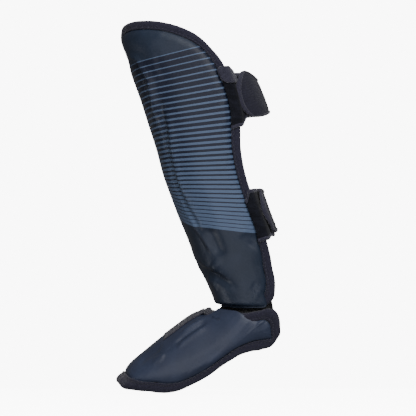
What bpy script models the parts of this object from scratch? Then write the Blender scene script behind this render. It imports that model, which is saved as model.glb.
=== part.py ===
"""Muay thai shin guard: a padded shin shell, a padded instep shell, their bound edges and the straps.

Metres, +Z up, the shin and the toe face -Y and the calf is at +Y. The guard keeps the leaning pose that it
has on a leg. The origin is where the shin rests on the pad's inner face. Left and right are mirrored,
apart from the closed ends of the two calf straps, which lie on the +X side.

Each pad is one U-shaped surface. A point of it is named by its travel, the way round the U from the ridge,
and its along, the way down the shin or out to the toe. The outline, the padding and the folds are all read
in those two lengths.
"""

from collections import namedtuple

import bmesh
import bpy
import numpy as np

# Driving sizes of the shin pad
SHIN_LENGTH = 0.3232
SHIN_LEAN = 0.1075
SHIN_DEPTH = 0.110
SHIN_WIDTH = 0.142
SHIN_PADDING = 0.024
SHIN_SIDE_PADDING = 0.016

# Driving sizes of the instep pad
INSTEP_LENGTH = 0.1856
INSTEP_DROP = 0.0815
INSTEP_DEPTH = 0.050
INSTEP_WIDTH = 0.104
INSTEP_PADDING = 0.015
INSTEP_SIDE_PADDING = 0.011

# How the instep hangs under the shin: behind the shin's lower front edge, and above its lower edge
ANKLE_BACK = 0.0713
ANKLE_RISE = 0.0017

# Edges: the flat rim of a pad, and the tape folded round it
RIM = 0.0035
TAPE_WALL = 0.0012
TAPE_REACH = 0.0095
CLEARANCE = 0.0005
SHOULDER = 0.011

# Straps, ankle hinge and ridge tape
STRAP_WALL = 0.0026
ROOT_WALL = 0.0018
UPPER_STRAP_WIDTH = 0.054
LOWER_STRAP_WIDTH = 0.050
UPPER_CALF_BULGE = 0.0295
LOWER_CALF_BULGE = 0.0118
STRAP_GRIP = 0.0075
GUSSET_WALL = 0.0014
GUSSET_START = 0.064
HINGE_WALL = 0.0016
HINGE_GRIP = 0.0062
RIDGE_TAPE_WIDTH = 0.034
RIDGE_TAPE_WALL = 0.0012
SOLE_STRAP_WIDTH = 0.034
SOLE_STRAP_WALL = 0.0018

# Where the shin rests, as a share of the shin pad's length
SEAT_SHARE = 0.48

# Mesh fineness
SHIN_COLUMNS = 96
INSTEP_COLUMNS = 76

Section = namedtuple("Section", "along ridge width depth")
Edge = namedtuple("Edge", "along deep recess")
Fold = namedtuple("Fold", "path width height")
Spot = namedtuple("Spot", "along deep")
Strap = namedtuple("Strap", "middle width bulge flare tip")

# Shares of the shin's length, lean, half width and depth, a row for each section
SHIN_SECTIONS = [
    Section(0.000, -0.050, 0.970, 0.74),
    Section(0.074, -0.030, 0.985, 0.75),
    Section(0.126, 0.045, 0.993, 0.76),
    Section(0.217, 0.147, 1.000, 0.76),
    Section(0.329, 0.263, 0.985, 0.74),
    Section(0.441, 0.368, 0.950, 0.71),
    Section(0.553, 0.463, 0.905, 0.67),
    Section(0.665, 0.589, 0.855, 0.63),
    Section(0.778, 0.726, 0.795, 0.58),
    Section(0.862, 0.818, 0.750, 0.54),
    Section(0.890, 0.868, 0.735, 0.53),
    Section(0.946, 0.948, 0.710, 0.50),
    Section(1.000, 1.010, 0.690, 0.48),
]

# Half of the notch over the shin's ridge: shares of the length and of the half width
SHIN_NOTCH = [
    Edge(0.122, 0.00, 0.18),
    Edge(0.113, 0.14, 0.18),
    Edge(0.078, 0.30, 0.19),
    Edge(0.032, 0.41, 0.20),
]

# The shin's bound outline: shares of the length and depth, and of the padding for the rim's recess
SHIN_EDGE = [
    Edge(0.003, 0.130, 0.21),
    Edge(-0.001, 0.240, 0.21),
    Edge(0.001, 0.424, 0.20),
    Edge(0.011, 0.580, 0.19),
    Edge(0.028, 0.722, 0.18),
    Edge(0.048, 0.832, 0.17),
    Edge(0.074, 0.912, 0.17),
    Edge(0.105, 0.956, 0.17),
    Edge(0.142, 0.987, 0.17),
    Edge(0.189, 1.003, 0.17),
    Edge(0.252, 1.005, 0.17),
    Edge(0.326, 0.977, 0.17),
    Edge(0.385, 0.928, 0.17),
    Edge(0.441, 0.881, 0.17),
    Edge(0.497, 0.859, 0.17),
    Edge(0.553, 0.851, 0.17),
    Edge(0.609, 0.845, 0.17),
    Edge(0.665, 0.840, 0.17),
    Edge(0.722, 0.835, 0.17),
    Edge(0.778, 0.807, 0.17),
    Edge(0.834, 0.792, 0.17),
    Edge(0.890, 0.740, 0.18),
    Edge(0.932, 0.688, 0.19),
    Edge(0.970, 0.622, 0.21),
    Edge(0.994, 0.515, 0.26),
    Edge(0.998, 0.350, 0.36),
    Edge(0.998, 0.165, 0.46),
    Edge(0.996, 0.000, 0.48),
]

# Folds of the shin leather: places as shares of the length and depth, sizes as shares of the padding
SHIN_FOLDS = [
    Fold([Spot(0.131, 0.097), Spot(0.183, 0.148), Spot(0.235, 0.134), Spot(0.305, 0.098), Spot(0.374, 0.046)],
         0.28, 0.085),
    Fold([Spot(0.270, 0.232), Spot(0.374, 0.182), Spot(0.443, 0.139), Spot(0.512, 0.131), Spot(0.599, 0.116),
          Spot(0.651, 0.121), Spot(0.692, 0.146), Spot(0.799, 0.153)], 0.24, -0.095),
    Fold([Spot(0.722, 0.268), Spot(0.815, 0.268)], 0.36, -0.080),
    Fold([Spot(0.851, 0.012), Spot(0.885, 0.110), Spot(0.918, 0.216)], 0.30, -0.130),
    Fold([Spot(0.845, 0.160), Spot(0.865, 0.206)], 0.50, 0.070),
    Fold([Spot(0.900, 0.030), Spot(0.925, 0.100)], 0.50, 0.060),
    Fold([Spot(0.745, 0.730), Spot(0.790, 0.600)], 0.30, -0.060),
]

# Shares of the instep's length, drop, half width and depth, from behind the ankle out to the toe
INSTEP_SECTIONS = [
    Section(0.000, -0.780, 1.000, 1.00),
    Section(0.128, -0.530, 1.000, 1.00),
    Section(0.238, -0.306, 0.995, 1.00),
    Section(0.348, -0.097, 0.980, 1.00),
    Section(0.415, 0.000, 0.970, 0.99),
    Section(0.463, 0.042, 0.960, 0.98),
    Section(0.530, 0.118, 0.945, 0.94),
    Section(0.628, 0.278, 0.915, 0.88),
    Section(0.726, 0.444, 0.875, 0.80),
    Section(0.817, 0.611, 0.825, 0.68),
    Section(0.902, 0.778, 0.760, 0.55),
    Section(0.957, 0.903, 0.700, 0.46),
    Section(1.000, 1.000, 0.640, 0.38),
]

# The instep's bound outline: shares of the length and depth, and of the padding for the rim's recess
INSTEP_EDGE = [
    Edge(0.415, 0.000, 0.16),
    Edge(0.404, 0.080, 0.16),
    Edge(0.348, 0.238, 0.18),
    Edge(0.238, 0.620, 0.22),
    Edge(0.128, 0.965, 0.24),
    Edge(0.050, 1.175, 0.24),
    Edge(0.006, 1.420, 0.24),
    Edge(-0.009, 1.740, 0.24),
    Edge(-0.003, 1.975, 0.24),
    Edge(0.034, 2.068, 0.24),
    Edge(0.104, 1.948, 0.24),
    Edge(0.177, 1.757, 0.24),
    Edge(0.250, 1.617, 0.24),
    Edge(0.329, 1.545, 0.24),
    Edge(0.402, 1.556, 0.24),
    Edge(0.457, 1.600, 0.24),
    Edge(0.543, 1.606, 0.24),
    Edge(0.616, 1.520, 0.24),
    Edge(0.695, 1.350, 0.24),
    Edge(0.787, 1.050, 0.24),
    Edge(0.884, 0.712, 0.24),
    Edge(0.948, 0.420, 0.22),
    Edge(0.985, 0.150, 0.20),
    Edge(1.000, 0.000, 0.18),
]

# Folds of the instep leather: places as shares of the length and depth, sizes as shares of the padding
INSTEP_FOLDS = [
    Fold([Spot(0.427, 0.305), Spot(0.530, 0.350), Spot(0.646, 0.378)], 0.30, -0.150),
    Fold([Spot(0.451, 0.226), Spot(0.604, 0.238)], 0.24, 0.070),
    Fold([Spot(0.439, 0.420), Spot(0.540, 0.480), Spot(0.634, 0.480)], 0.34, 0.080),
    Fold([Spot(0.689, 0.500), Spot(0.768, 0.390)], 0.34, 0.090),
    Fold([Spot(0.730, 0.130), Spot(0.850, 0.140)], 0.60, -0.070),
    Fold([Spot(0.110, 1.250), Spot(0.040, 1.420)], 0.26, -0.080),
]


def read_smoothly(places, values, wanted):
    """Reads a table along one smooth curve through its rows."""
    places = np.asarray(places, float)
    values = np.asarray(values, float)
    wanted = np.clip(wanted, places[0], places[-1])
    slopes = np.gradient(values, places)
    cell = np.clip(np.searchsorted(places, wanted, side="right") - 1, 0, len(places) - 2)
    width = places[cell + 1] - places[cell]
    share = (wanted - places[cell]) / width
    rest = 1.0 - share
    return (
        rest * rest * (1.0 + 2.0 * share) * values[cell]
        + share * rest * rest * width * slopes[cell]
        + share * share * (1.0 + 2.0 * rest) * values[cell + 1]
        - share * share * rest * width * slopes[cell + 1]
    )


def rise(share):
    """Zero below 0, one above 1 and smooth between."""
    share = np.clip(share, 0.0, 1.0)
    return share * share * (3.0 - 2.0 * share)


def lengths_along(points):
    steps = np.linalg.norm(np.diff(points, axis=0), axis=1)
    return np.concatenate([[0.0], np.cumsum(steps)])


def distance_to_path(points, path):
    """How far each plane point is from a polyline, and the share of the polyline at its nearest place."""
    starts = path[:-1]
    steps = np.diff(path, axis=0)
    squares = np.maximum((steps**2).sum(axis=1), 1e-18)
    offsets = points[:, None, :] - starts[None, :, :]
    share = np.clip((offsets * steps).sum(axis=2) / squares, 0.0, 1.0)
    gaps = np.linalg.norm(offsets - share[:, :, None] * steps, axis=2)
    nearest = gaps.argmin(axis=1)
    rows = np.arange(len(points))
    travelled = lengths_along(path)
    reached = travelled[nearest] + share[rows, nearest] * np.sqrt(squares[nearest])
    return gaps[rows, nearest], reached / travelled[-1]


class Pad:
    """A padded U-shaped shell with a flat rim, whose ridge runs along one axis and whose legs run along another."""

    PROFILE_STEPS = 2400
    LEG_REACH = 1.6
    OUTLINE_STEPS = 480

    def __init__(self, start, down, back, sizes, sections, edge, folds, notch=(), exponent=2.8, curl=0.35):
        self.start = np.array(start)
        self.down = np.array(down)
        self.back = np.array(back)
        self.length, self.run, self.width, self.depth, self.padding, self.side_padding = sizes
        self.sections = sections
        self.make_profile(exponent, curl)
        self.make_outline(edge, notch)
        self.folds = [self.placed_fold(fold) for fold in folds]

    def make_profile(self, exponent, curl):
        """The U section at unit half width and unit depth: a quarter of a superellipse, then a leg that curls in."""
        turn = np.linspace(0.0, np.pi / 2, self.PROFILE_STEPS)
        leg = np.linspace(0.0, self.LEG_REACH, self.PROFILE_STEPS)[1:]
        across = np.concatenate([np.sin(turn) ** (2 / exponent), 1.0 - curl * leg**2 / (1.0 + leg)])
        deep = np.concatenate([1.0 - np.cos(turn) ** (2 / exponent), 1.0 + leg])
        self.profile = lengths_along(np.column_stack([across, deep])), across, deep

    def section(self, along):
        """Ridge offset, half width, depth and mean radius of the U at some places along the pad."""
        places = [row.along for row in self.sections]
        share = along / self.length
        ridge = self.run * read_smoothly(places, [row.ridge for row in self.sections], share)
        width = self.width / 2 * read_smoothly(places, [row.width for row in self.sections], share)
        depth = self.depth * read_smoothly(places, [row.depth for row in self.sections], share)
        return ridge, width, depth, (width + depth) / 2

    def travel_at_depth(self, along, deep):
        _, _, depth, radius = self.section(along)
        travel, _, depths = self.profile
        return radius * np.interp(deep / depth, depths, travel)

    def travel_at_width(self, along, share):
        _, _, _, radius = self.section(along)
        travel, widths, _ = self.profile
        return radius * np.interp(share, widths[: self.PROFILE_STEPS], travel[: self.PROFILE_STEPS])

    def base(self, travel, along):
        """Points of the smooth surface before padding and folds."""
        ridge, width, depth, radius = self.section(along)
        lengths, widths, depths = self.profile
        turned = np.abs(travel) / radius
        across = np.sign(travel) * width * np.interp(turned, lengths, widths)
        deep = ridge + depth * np.interp(turned, lengths, depths)
        side = np.array([1.0, 0.0, 0.0])
        return (
            self.start
            + along[..., None] * self.down
            + deep[..., None] * self.back
            + across[..., None] * side
        )

    def outward(self, travel, along):
        step = 0.0015
        round_u = self.base(travel + step, along) - self.base(travel - step, along)
        down_u = self.base(travel, along + step) - self.base(travel, along - step)
        normal = np.cross(down_u, round_u)
        normal /= np.linalg.norm(normal, axis=-1, keepdims=True)
        probe = (normal * self.back).sum(axis=-1)
        return normal if probe[np.abs(travel).argmin()] < 0 else -normal

    def make_outline(self, edge, notch):
        """The closed outline, evenly spaced, with its inward direction and the rim's recess."""
        along = self.length * np.array([row.along for row in [*notch, *edge]])
        travel = np.concatenate([
            self.travel_at_width(along[: len(notch)], [row.deep for row in notch]),
            self.travel_at_depth(along[len(notch):], self.depth * np.array([row.deep for row in edge])),
        ])
        recess = self.padding * np.array([row.recess for row in [*notch, *edge]])
        half = np.column_stack([travel, along, recess])
        flip = np.array([-1.0, 1.0, 1.0])
        ring = np.concatenate([half[1:4][::-1] * flip, half, half[-4:-1][::-1] * flip])
        places = lengths_along(ring[:, :2])
        fine = np.linspace(places[3], places[-4], self.OUTLINE_STEPS)
        curve = np.column_stack([read_smoothly(places, column, fine) for column in ring.T])
        curve[0, 0] = curve[-1, 0] = 0.0
        loop = np.concatenate([curve, curve[-2::-1] * flip])
        self.loop_places = lengths_along(loop[:, :2])
        self.perimeter = self.loop_places[-1]
        self.loop_places /= self.perimeter
        self.loop = loop

    def outline(self, share):
        """Travel, along and recess of the outline at some shares of the way round it, and the inward direction."""
        read = lambda at: np.column_stack(
            [np.interp(at % 1.0, self.loop_places, column) for column in self.loop.T]
        )
        step = TAPE_REACH / self.perimeter
        tangent = read(share + step)[:, :2] - read(share - step)[:, :2]
        tangent /= np.linalg.norm(tangent, axis=1, keepdims=True)
        inward = np.column_stack([-tangent[:, 1], tangent[:, 0]])
        return read(share), inward

    def tip_share(self):
        """Share of the outline at the rear end of the +X wing."""
        return self.loop_places[self.loop[: self.OUTLINE_STEPS, 1].argmin()]

    def border(self, share, inset, depth):
        """Points at an inset from the outline and a depth under the rim's outer face."""
        spots, inward = self.outline(share)
        place = spots[:, :2] + inward * inset
        normal = self.outward(place[:, 0], place[:, 1])
        return self.base(place[:, 0], place[:, 1]) - normal * (spots[:, 2:] + depth)

    def placed_fold(self, fold):
        along = self.length * np.array([spot.along for spot in fold.path])
        travel = self.travel_at_depth(along, self.depth * np.array([spot.deep for spot in fold.path]))
        return np.column_stack([travel, along]), fold.width * self.padding, fold.height * self.padding

    def relief(self, travel, along):
        """Height of the folds, whose ends fade out."""
        spots = np.column_stack([np.abs(travel), along])
        height = np.zeros(len(spots))
        for path, width, peak in self.folds:
            gap, share = distance_to_path(spots, path)
            ends = rise(share / 0.25) * rise((1.0 - share) / 0.25)
            height += peak * np.exp(-((gap / width) ** 2)) * (0.25 + 0.75 * ends)
        return height

    def faces_at(self, travel, along, recess):
        """Outer and inner points of the padded shell."""
        spots = np.column_stack([travel, along])
        edge_gap, _ = distance_to_path(spots, self.loop[:, :2])
        swell = np.clip((edge_gap - TAPE_REACH - CLEARANCE) / SHOULDER, 0.0, 1.0)
        swell = np.sqrt(1.0 - (1.0 - swell) ** 2)
        _, width, _, _ = self.section(along)
        to_side = rise((np.abs(travel) - 0.45 * width) / (0.5 * width))
        padding = self.padding + (self.side_padding - self.padding) * to_side
        normal = self.outward(travel, along)
        base = self.base(travel, along)
        lift = self.relief(travel, along) * swell - recess * (1.0 - swell)
        under = recess + RIM + (padding - recess - RIM) * swell
        return base + normal * lift[:, None], base - normal * under[:, None]


def even_columns(count):
    return np.arange(count) / count


def paired_columns(count, tip):
    """Shares of an outline with as many columns before the wing's tip as after it."""
    quarter = np.arange(count // 4) / (count // 4)
    half = np.concatenate([tip * quarter, tip + (0.5 - tip) * quarter])
    return np.concatenate([half, [0.5], 1.0 - half[:0:-1]])


def ridge_core(pad, share, spine):
    """The line of the ridge, on which the rings of a pad with short wings close."""
    around = 1.0 - np.abs(1.0 - 2.0 * share)
    return np.column_stack([np.zeros(len(share)), pad.length * (spine[0] + (spine[1] - spine[0]) * around)])


def wing_core(pad, share, tip, reach):
    """The line midway between the two edges of a long wing, on which its rings close."""
    folded = np.minimum(share, 1.0 - share)
    out = reach * np.where(folded < tip, folded / tip, (0.5 - folded) / (0.5 - tip))
    upper, _ = pad.outline(tip * out)
    lower, _ = pad.outline(0.5 - (0.5 - tip) * out)
    core = (upper[:, :2] + lower[:, :2]) / 2
    core[:, 0] *= np.where(share > 0.5, -1.0, 1.0)
    return core


def settled_spots(pad, share, rings, core):
    """Travel, along and recess for each ring and column: two rim rings, then rings that close on the core."""
    spots, inward = pad.outline(share)
    rim = spots[:, :2] + inward * (TAPE_WALL + CLEARANCE)
    flat = spots[:, :2] + inward * (TAPE_REACH + CLEARANCE)
    return [rim, flat] + [flat + (core - flat) * step for step in rings], spots[:, 2]


def shell_points(pad, share, outer_rings, inner_rings, core):
    """Rows of points from the outer core over the rim to the inner core."""
    outer, recess = settled_spots(pad, share, outer_rings, core)
    inner, _ = settled_spots(pad, share, inner_rings, core)
    rows = [pad.faces_at(layer[:, 0], layer[:, 1], recess)[0] for layer in reversed(outer)]
    rows += [pad.faces_at(layer[:, 0], layer[:, 1], recess)[1] for layer in inner]
    return np.array(rows)


def tape_points(pad, share):
    """Rows of points round the section of the folded tape."""
    near = -CLEARANCE
    far = RIM + CLEARANCE
    section = [
        (TAPE_REACH, near), (TAPE_WALL, near), (TAPE_WALL, far), (TAPE_REACH, far),
        (TAPE_REACH, far + TAPE_WALL), (0.0, far + TAPE_WALL), (0.0, near - TAPE_WALL), (TAPE_REACH, near - TAPE_WALL),
    ]
    return np.array([pad.border(share, inset, depth) for inset, depth in section])


def wing_edge(pad, along, inset, depth):
    """Points near the rear edge of the +X leg, at some places along the pad."""
    half = pad.loop[: Pad.OUTLINE_STEPS]
    rear = half[half[:, 0].argmax() // 2:]
    rear = rear[(np.gradient(rear[:, 1]) > 0) & (rear[:, 0] > 0.6 * half[:, 0].max())]
    travel = np.interp(along, rear[:, 1], rear[:, 0]) - inset
    recess = np.interp(along, rear[:, 1], rear[:, 2])
    normal = pad.outward(np.append(travel, 0.0), np.append(along, pad.length / 2))[:-1]
    return pad.base(travel, along) - normal * (recess + depth)[:, None]


def calf_curve(pad, along, bulge):
    """For each place along the pad, a curve from inside the +X wing, round the calf, to inside the -X wing."""
    depth = RIM + 2 * CLEARANCE + TAPE_WALL
    grip = wing_edge(pad, along, STRAP_GRIP, depth)
    lip = wing_edge(pad, along, 0.0, depth)
    turn = np.linspace(0.0, np.pi / 2, 14)[1:]
    across = np.cos(turn) ** (2 / 2.4)
    behind = np.sin(turn) ** (2 / 2.4)
    quarter = lip[None, :, :] * np.ones((len(turn), 1, 1))
    quarter[:, :, 0] = lip[None, :, 0] * across[:, None]
    quarter[:, :, 1] = lip[None, :, 1] + bulge[None, :] * behind[:, None]
    half = np.concatenate([grip[None], lip[None], quarter])
    other = half[-2::-1] * np.array([-1.0, 1.0, 1.0])
    return np.concatenate([half, other])


def read_curve(curve, shares):
    """Points at given shares of the length of each of several curves."""
    out = np.empty((len(shares), curve.shape[1], 3))
    for column in range(curve.shape[1]):
        places = lengths_along(curve[:, column])
        wanted = np.asarray(shares)[:, column] if np.ndim(shares) == 2 else np.asarray(shares)
        for axis in range(3):
            out[:, column, axis] = np.interp(wanted * places[-1], places, curve[:, column, axis])
    return out


def plain_material(name, colour, roughness):
    material = bpy.data.materials.new(name)
    material.use_nodes = True
    shader = material.node_tree.nodes["Principled BSDF"]
    shader.inputs["Base Color"].default_value = (*colour, 1.0)
    shader.inputs["Roughness"].default_value = roughness
    shader.inputs["Metallic"].default_value = 0.0
    return material


def grid_object(name, points, material, closed_round=False, closed_section=False):
    """An object whose grid of faces passes through rows of points, joined where rows or columns close."""
    rows = np.concatenate([points, points[:1]]) if closed_section else points
    if closed_round:
        rows = np.concatenate([rows, rows[:, :1]], axis=1)
    down, across = rows.shape[0] - 1, rows.shape[1] - 1
    mesh = bmesh.new()
    bmesh.ops.create_grid(mesh, x_segments=across, y_segments=down, size=0.5)
    for vertex in mesh.verts:
        column = round((vertex.co.x + 0.5) * across)
        row = round((vertex.co.y + 0.5) * down)
        vertex.co = rows[row, column]
    bmesh.ops.remove_doubles(mesh, verts=mesh.verts, dist=2e-6)
    bmesh.ops.recalc_face_normals(mesh, faces=mesh.faces)
    data = bpy.data.meshes.new(name)
    mesh.to_mesh(data)
    mesh.free()
    data.shade_smooth()
    data.materials.append(material)
    made = bpy.data.objects.new(name, data)
    bpy.context.scene.collection.objects.link(made)
    return made


def sheet_object(name, points, thickness, away_from, material):
    """A sheet through rows of points, thickened to the side that faces away from a place."""
    made = grid_object(name, points, material)
    middle = points[points.shape[0] // 2, points.shape[1] // 2]
    polygon = min(made.data.polygons, key=lambda face: np.linalg.norm(np.array(face.center) - middle))
    outward = np.array(polygon.normal) @ (np.array(polygon.center) - np.array(away_from))
    wall = made.modifiers.new("wall", "SOLIDIFY")
    wall.thickness = thickness
    wall.offset = 1.0 if outward > 0 else -1.0
    wall.use_even_offset = True
    return made


def make_shin():
    """The shin pad, moved so that the seat on its inner face is the origin."""
    sizes = (SHIN_LENGTH, SHIN_LEAN, SHIN_WIDTH, SHIN_DEPTH, SHIN_PADDING, SHIN_SIDE_PADDING)
    pad = Pad((0, 0, 0), (0, 0, -1), (0, 1, 0), sizes, SHIN_SECTIONS, SHIN_EDGE, SHIN_FOLDS, SHIN_NOTCH)
    seat = np.array([SEAT_SHARE * SHIN_LENGTH])
    _, inner = pad.faces_at(np.zeros(1), seat, np.zeros(1))
    pad.start = pad.start - inner[0]
    return pad


def make_instep(shin):
    lower_front = shin.start + SHIN_LENGTH * shin.down + SHIN_LEAN * shin.back
    start = lower_front + np.array([0.0, ANKLE_BACK, ANKLE_RISE])
    sizes = (INSTEP_LENGTH, INSTEP_DROP, INSTEP_WIDTH, INSTEP_DEPTH, INSTEP_PADDING, INSTEP_SIDE_PADDING)
    return Pad(start, (0, -1, 0), (0, 0, -1), sizes, INSTEP_SECTIONS, INSTEP_EDGE, INSTEP_FOLDS, exponent=2.2)


def build_pads(shin, instep, leather, tape):
    share = even_columns(SHIN_COLUMNS)
    outer = (0.05, 0.13, 0.23, 0.34, 0.45, 0.55, 0.64, 0.72, 0.80, 0.87, 0.94, 1.0)
    inner = (0.06, 0.16, 0.34, 0.55, 0.76, 1.0)
    points = shell_points(shin, share, outer, inner, ridge_core(shin, share, (0.30, 0.90)))
    grid_object("shin_pad", points, leather, True)
    grid_object("shin_binding", tape_points(shin, share), tape, True, True)
    tip = instep.tip_share()
    share = paired_columns(INSTEP_COLUMNS, tip)
    outer = (0.10, 0.22, 0.36, 0.50, 0.66, 0.82, 1.0)
    inner = (0.12, 0.30, 0.55, 0.80, 1.0)
    points = shell_points(instep, share, outer, inner, wing_core(instep, share, tip, 0.87))
    grid_object("instep_pad", points, leather, True)
    grid_object("instep_binding", tape_points(instep, share), tape, True, True)


def build_ankle_hinge(shin, instep, cloth):
    """A strip sewn inside the shin's lower edge and inside the instep's upper edge."""
    across = np.linspace(-1.0, 1.0, 29)
    under = RIM + 2 * CLEARANCE + TAPE_WALL
    upper = 0.5 - 0.062 * across
    lower = (0.115 * across) % 1.0
    rows = [
        shin.border(upper, HINGE_GRIP, under + CLEARANCE),
        shin.border(upper, 0.0, under + CLEARANCE),
        instep.border(lower, 2 * TAPE_WALL, under + 2 * CLEARANCE),
        instep.border(lower, HINGE_GRIP, under + CLEARANCE),
    ]
    inside = (shin.border(np.array([0.5]), 0.0, 0.0)[0] + np.array([0.0, 0.05, 0.0]))
    sheet_object("ankle_hinge", np.array(rows), -HINGE_WALL, inside, cloth)


def strap_bulge(strap, along):
    """How far the calf pushes a strap out behind the wings, more at one edge of it than at the other."""
    place = (along - strap.middle * SHIN_LENGTH) / (strap.width / 2)
    return strap.bulge * (1.0 + strap.flare * place)


def build_root(shin, name, strap, inside, loop):
    """The loop panel that leaves the +X wing, narrower where the strap closes over it."""
    share = np.linspace(-1.0, 1.12, 6)
    along = strap.middle * SHIN_LENGTH + share * strap.width / 2
    steps = np.linspace(0.0, 0.30, 13)
    root = read_curve(calf_curve(shin, along, strap_bulge(strap, along)), steps)
    narrow = 1.0 - 0.15 * rise(steps / 0.15)
    for row, width in zip(root, narrow):
        row[:] = np.column_stack([np.interp(share * width, share, axis) for axis in row.T])
    sheet_object(name + "_root", root, -ROOT_WALL, inside, loop)


def build_calf_strap(shin, name, strap, inside, cloth):
    """The band that comes round from inside the -X wing and closes over the loop panel, its end rounded."""
    share = np.linspace(-1.0, 1.0, 6)
    along = strap.middle * SHIN_LENGTH + share * strap.width / 2
    curve = calf_curve(shin, along, strap_bulge(strap, along))
    rounded = strap.tip + 0.10 * (1.0 - np.sqrt(1.0 - 0.98 * share**2))
    steps = np.concatenate([np.linspace(0.0, 0.3, 11), np.linspace(0.3, 1.0, 12)[1:]])
    shares = rounded + (1.0 - rounded) * steps[:, None]
    band = read_curve(curve, shares)
    out = np.cross(np.gradient(band, axis=0), np.gradient(band, axis=1))
    out /= np.linalg.norm(out, axis=2, keepdims=True)
    out *= np.sign((out * (band - curve.mean(axis=(0, 1)))).sum(axis=2, keepdims=True))
    lift = 2 * CLEARANCE - (STRAP_WALL + 2 * CLEARANCE) * rise((shares - 0.36) / 0.40)
    sheet_object(name, band + out * lift[:, :, None], STRAP_WALL, inside, cloth)


def build_gusset(shin, strap, inside, cloth):
    """The small rounded patch at the top of the upper loop panel, just behind the wing."""
    down = np.linspace(0.0, 1.0, 5)
    along = (0.158 + 0.049 * down) * SHIN_LENGTH
    curve = calf_curve(shin, along, strap_bulge(strap, along))
    reach = 0.044 * np.sin(np.pi * (0.18 + 0.66 * down))
    patch = read_curve(curve, GUSSET_START + reach * np.linspace(0.0, 1.0, 6)[:, None])
    patch[:, :, 0] += CLEARANCE
    sheet_object("upper_strap_gusset", patch, GUSSET_WALL, inside, cloth)


def build_ridge_tape(instep, tape):
    """The tape sewn along the top of the foot."""
    across = np.linspace(-RIDGE_TAPE_WIDTH / 2, RIDGE_TAPE_WIDTH / 2, 9)
    ends = np.array([0.495, 0.700])
    along = INSTEP_LENGTH * np.linspace(ends[0], ends[1], 9)
    rows = []
    for place in along:
        places = np.full(len(across), place)
        outer, _ = instep.faces_at(across, places, np.full(len(across), 0.0))
        rows.append(outer + instep.outward(across, places) * CLEARANCE)
    inside = instep.base(np.zeros(1), along[4:5])[0] + np.array([0.0, 0.0, -INSTEP_DEPTH])
    sheet_object("instep_ridge_tape", np.array(rows), RIDGE_TAPE_WALL, inside, tape)


def build_sole_strap(instep, strap):
    """A plain elastic across the foot's hollow, its ends against the tape inside each wing."""
    under = RIM + 2 * CLEARANCE + TAPE_WALL
    middle = 0.275 * INSTEP_LENGTH
    along = middle + np.linspace(-SOLE_STRAP_WIDTH / 2, SOLE_STRAP_WIDTH / 2, 5)
    half = instep.loop[: Pad.OUTLINE_STEPS]
    lower = half[half[:, 0].argmax():]
    lower = lower[lower[:, 1] < 0.6 * INSTEP_LENGTH]
    order = lower[:, 1].argsort()
    travel = np.interp(along, lower[order, 1], lower[order, 0])
    recess = np.interp(along, lower[order, 1], lower[order, 2])
    rows = []
    for inset in (0.0085, 0.0030):
        at = np.append(travel - inset, 0.0)
        places = np.append(along, middle)
        normal = instep.outward(at, places)[:-1]
        rows.append(instep.base(at, places)[:-1] - normal * (recess + under)[:, None])
    side = np.array(rows)
    flat = [side[1] * np.array([share, 1.0, 1.0]) for share in np.linspace(1.0, -1.0, 13)[1:-1]]
    other = side[::-1] * np.array([-1.0, 1.0, 1.0])
    points = np.concatenate([side, np.array(flat), other])
    above = instep.base(np.zeros(1), np.array([0.45 * INSTEP_LENGTH]))[0]
    sheet_object("sole_strap", points, -SOLE_STRAP_WALL, above, strap)


def main():
    for old in list(bpy.data.objects):
        bpy.data.objects.remove(old)
    leather = plain_material("navy leather", (0.034, 0.047, 0.068), 0.42)
    tape = plain_material("binding tape", (0.036, 0.036, 0.050), 0.75)
    strap = plain_material("strap", (0.026, 0.027, 0.038), 0.70)
    loop = plain_material("loop panel", (0.008, 0.008, 0.011), 0.95)
    cloth = plain_material("ankle cloth", (0.006, 0.006, 0.009), 0.90)
    shin = make_shin()
    instep = make_instep(shin)
    build_pads(shin, instep, leather, tape)
    build_ankle_hinge(shin, instep, cloth)
    upper = Strap(0.254, UPPER_STRAP_WIDTH, UPPER_CALF_BULGE, 0.10, 0.078)
    lower = Strap(0.665, LOWER_STRAP_WIDTH, LOWER_CALF_BULGE, 0.0, 0.130)
    for name, sizes in (("upper_strap", upper), ("lower_strap", lower)):
        inside = shin.base(np.zeros(1), np.array([sizes.middle * SHIN_LENGTH]))[0] + SHIN_DEPTH / 2 * shin.back
        build_root(shin, name, sizes, inside, loop)
        build_calf_strap(shin, name, sizes, inside, strap)
    inside = shin.base(np.zeros(1), np.array([upper.middle * SHIN_LENGTH]))[0] + SHIN_DEPTH / 2 * shin.back
    build_gusset(shin, upper, inside, tape)
    build_ridge_tape(instep, tape)
    build_sole_strap(instep, loop)


main()
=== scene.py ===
"""The looks of a padded shin and instep guard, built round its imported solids.

Metres, in the frame of the solids: +Z up, the shin and the toe face -Y, the calf is at +Y and the closed
ends of the straps are on the +X side. Each pad is one U-shaped surface, read by its travel, the way round
the U from the ridge, and its along, the way down the shin or out to the toe.
"""

import logging
from dataclasses import dataclass, field
from enum import Enum
from typing import NamedTuple, Optional

import bmesh
import bpy
import numpy as np
from mathutils import Matrix, Vector


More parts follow.
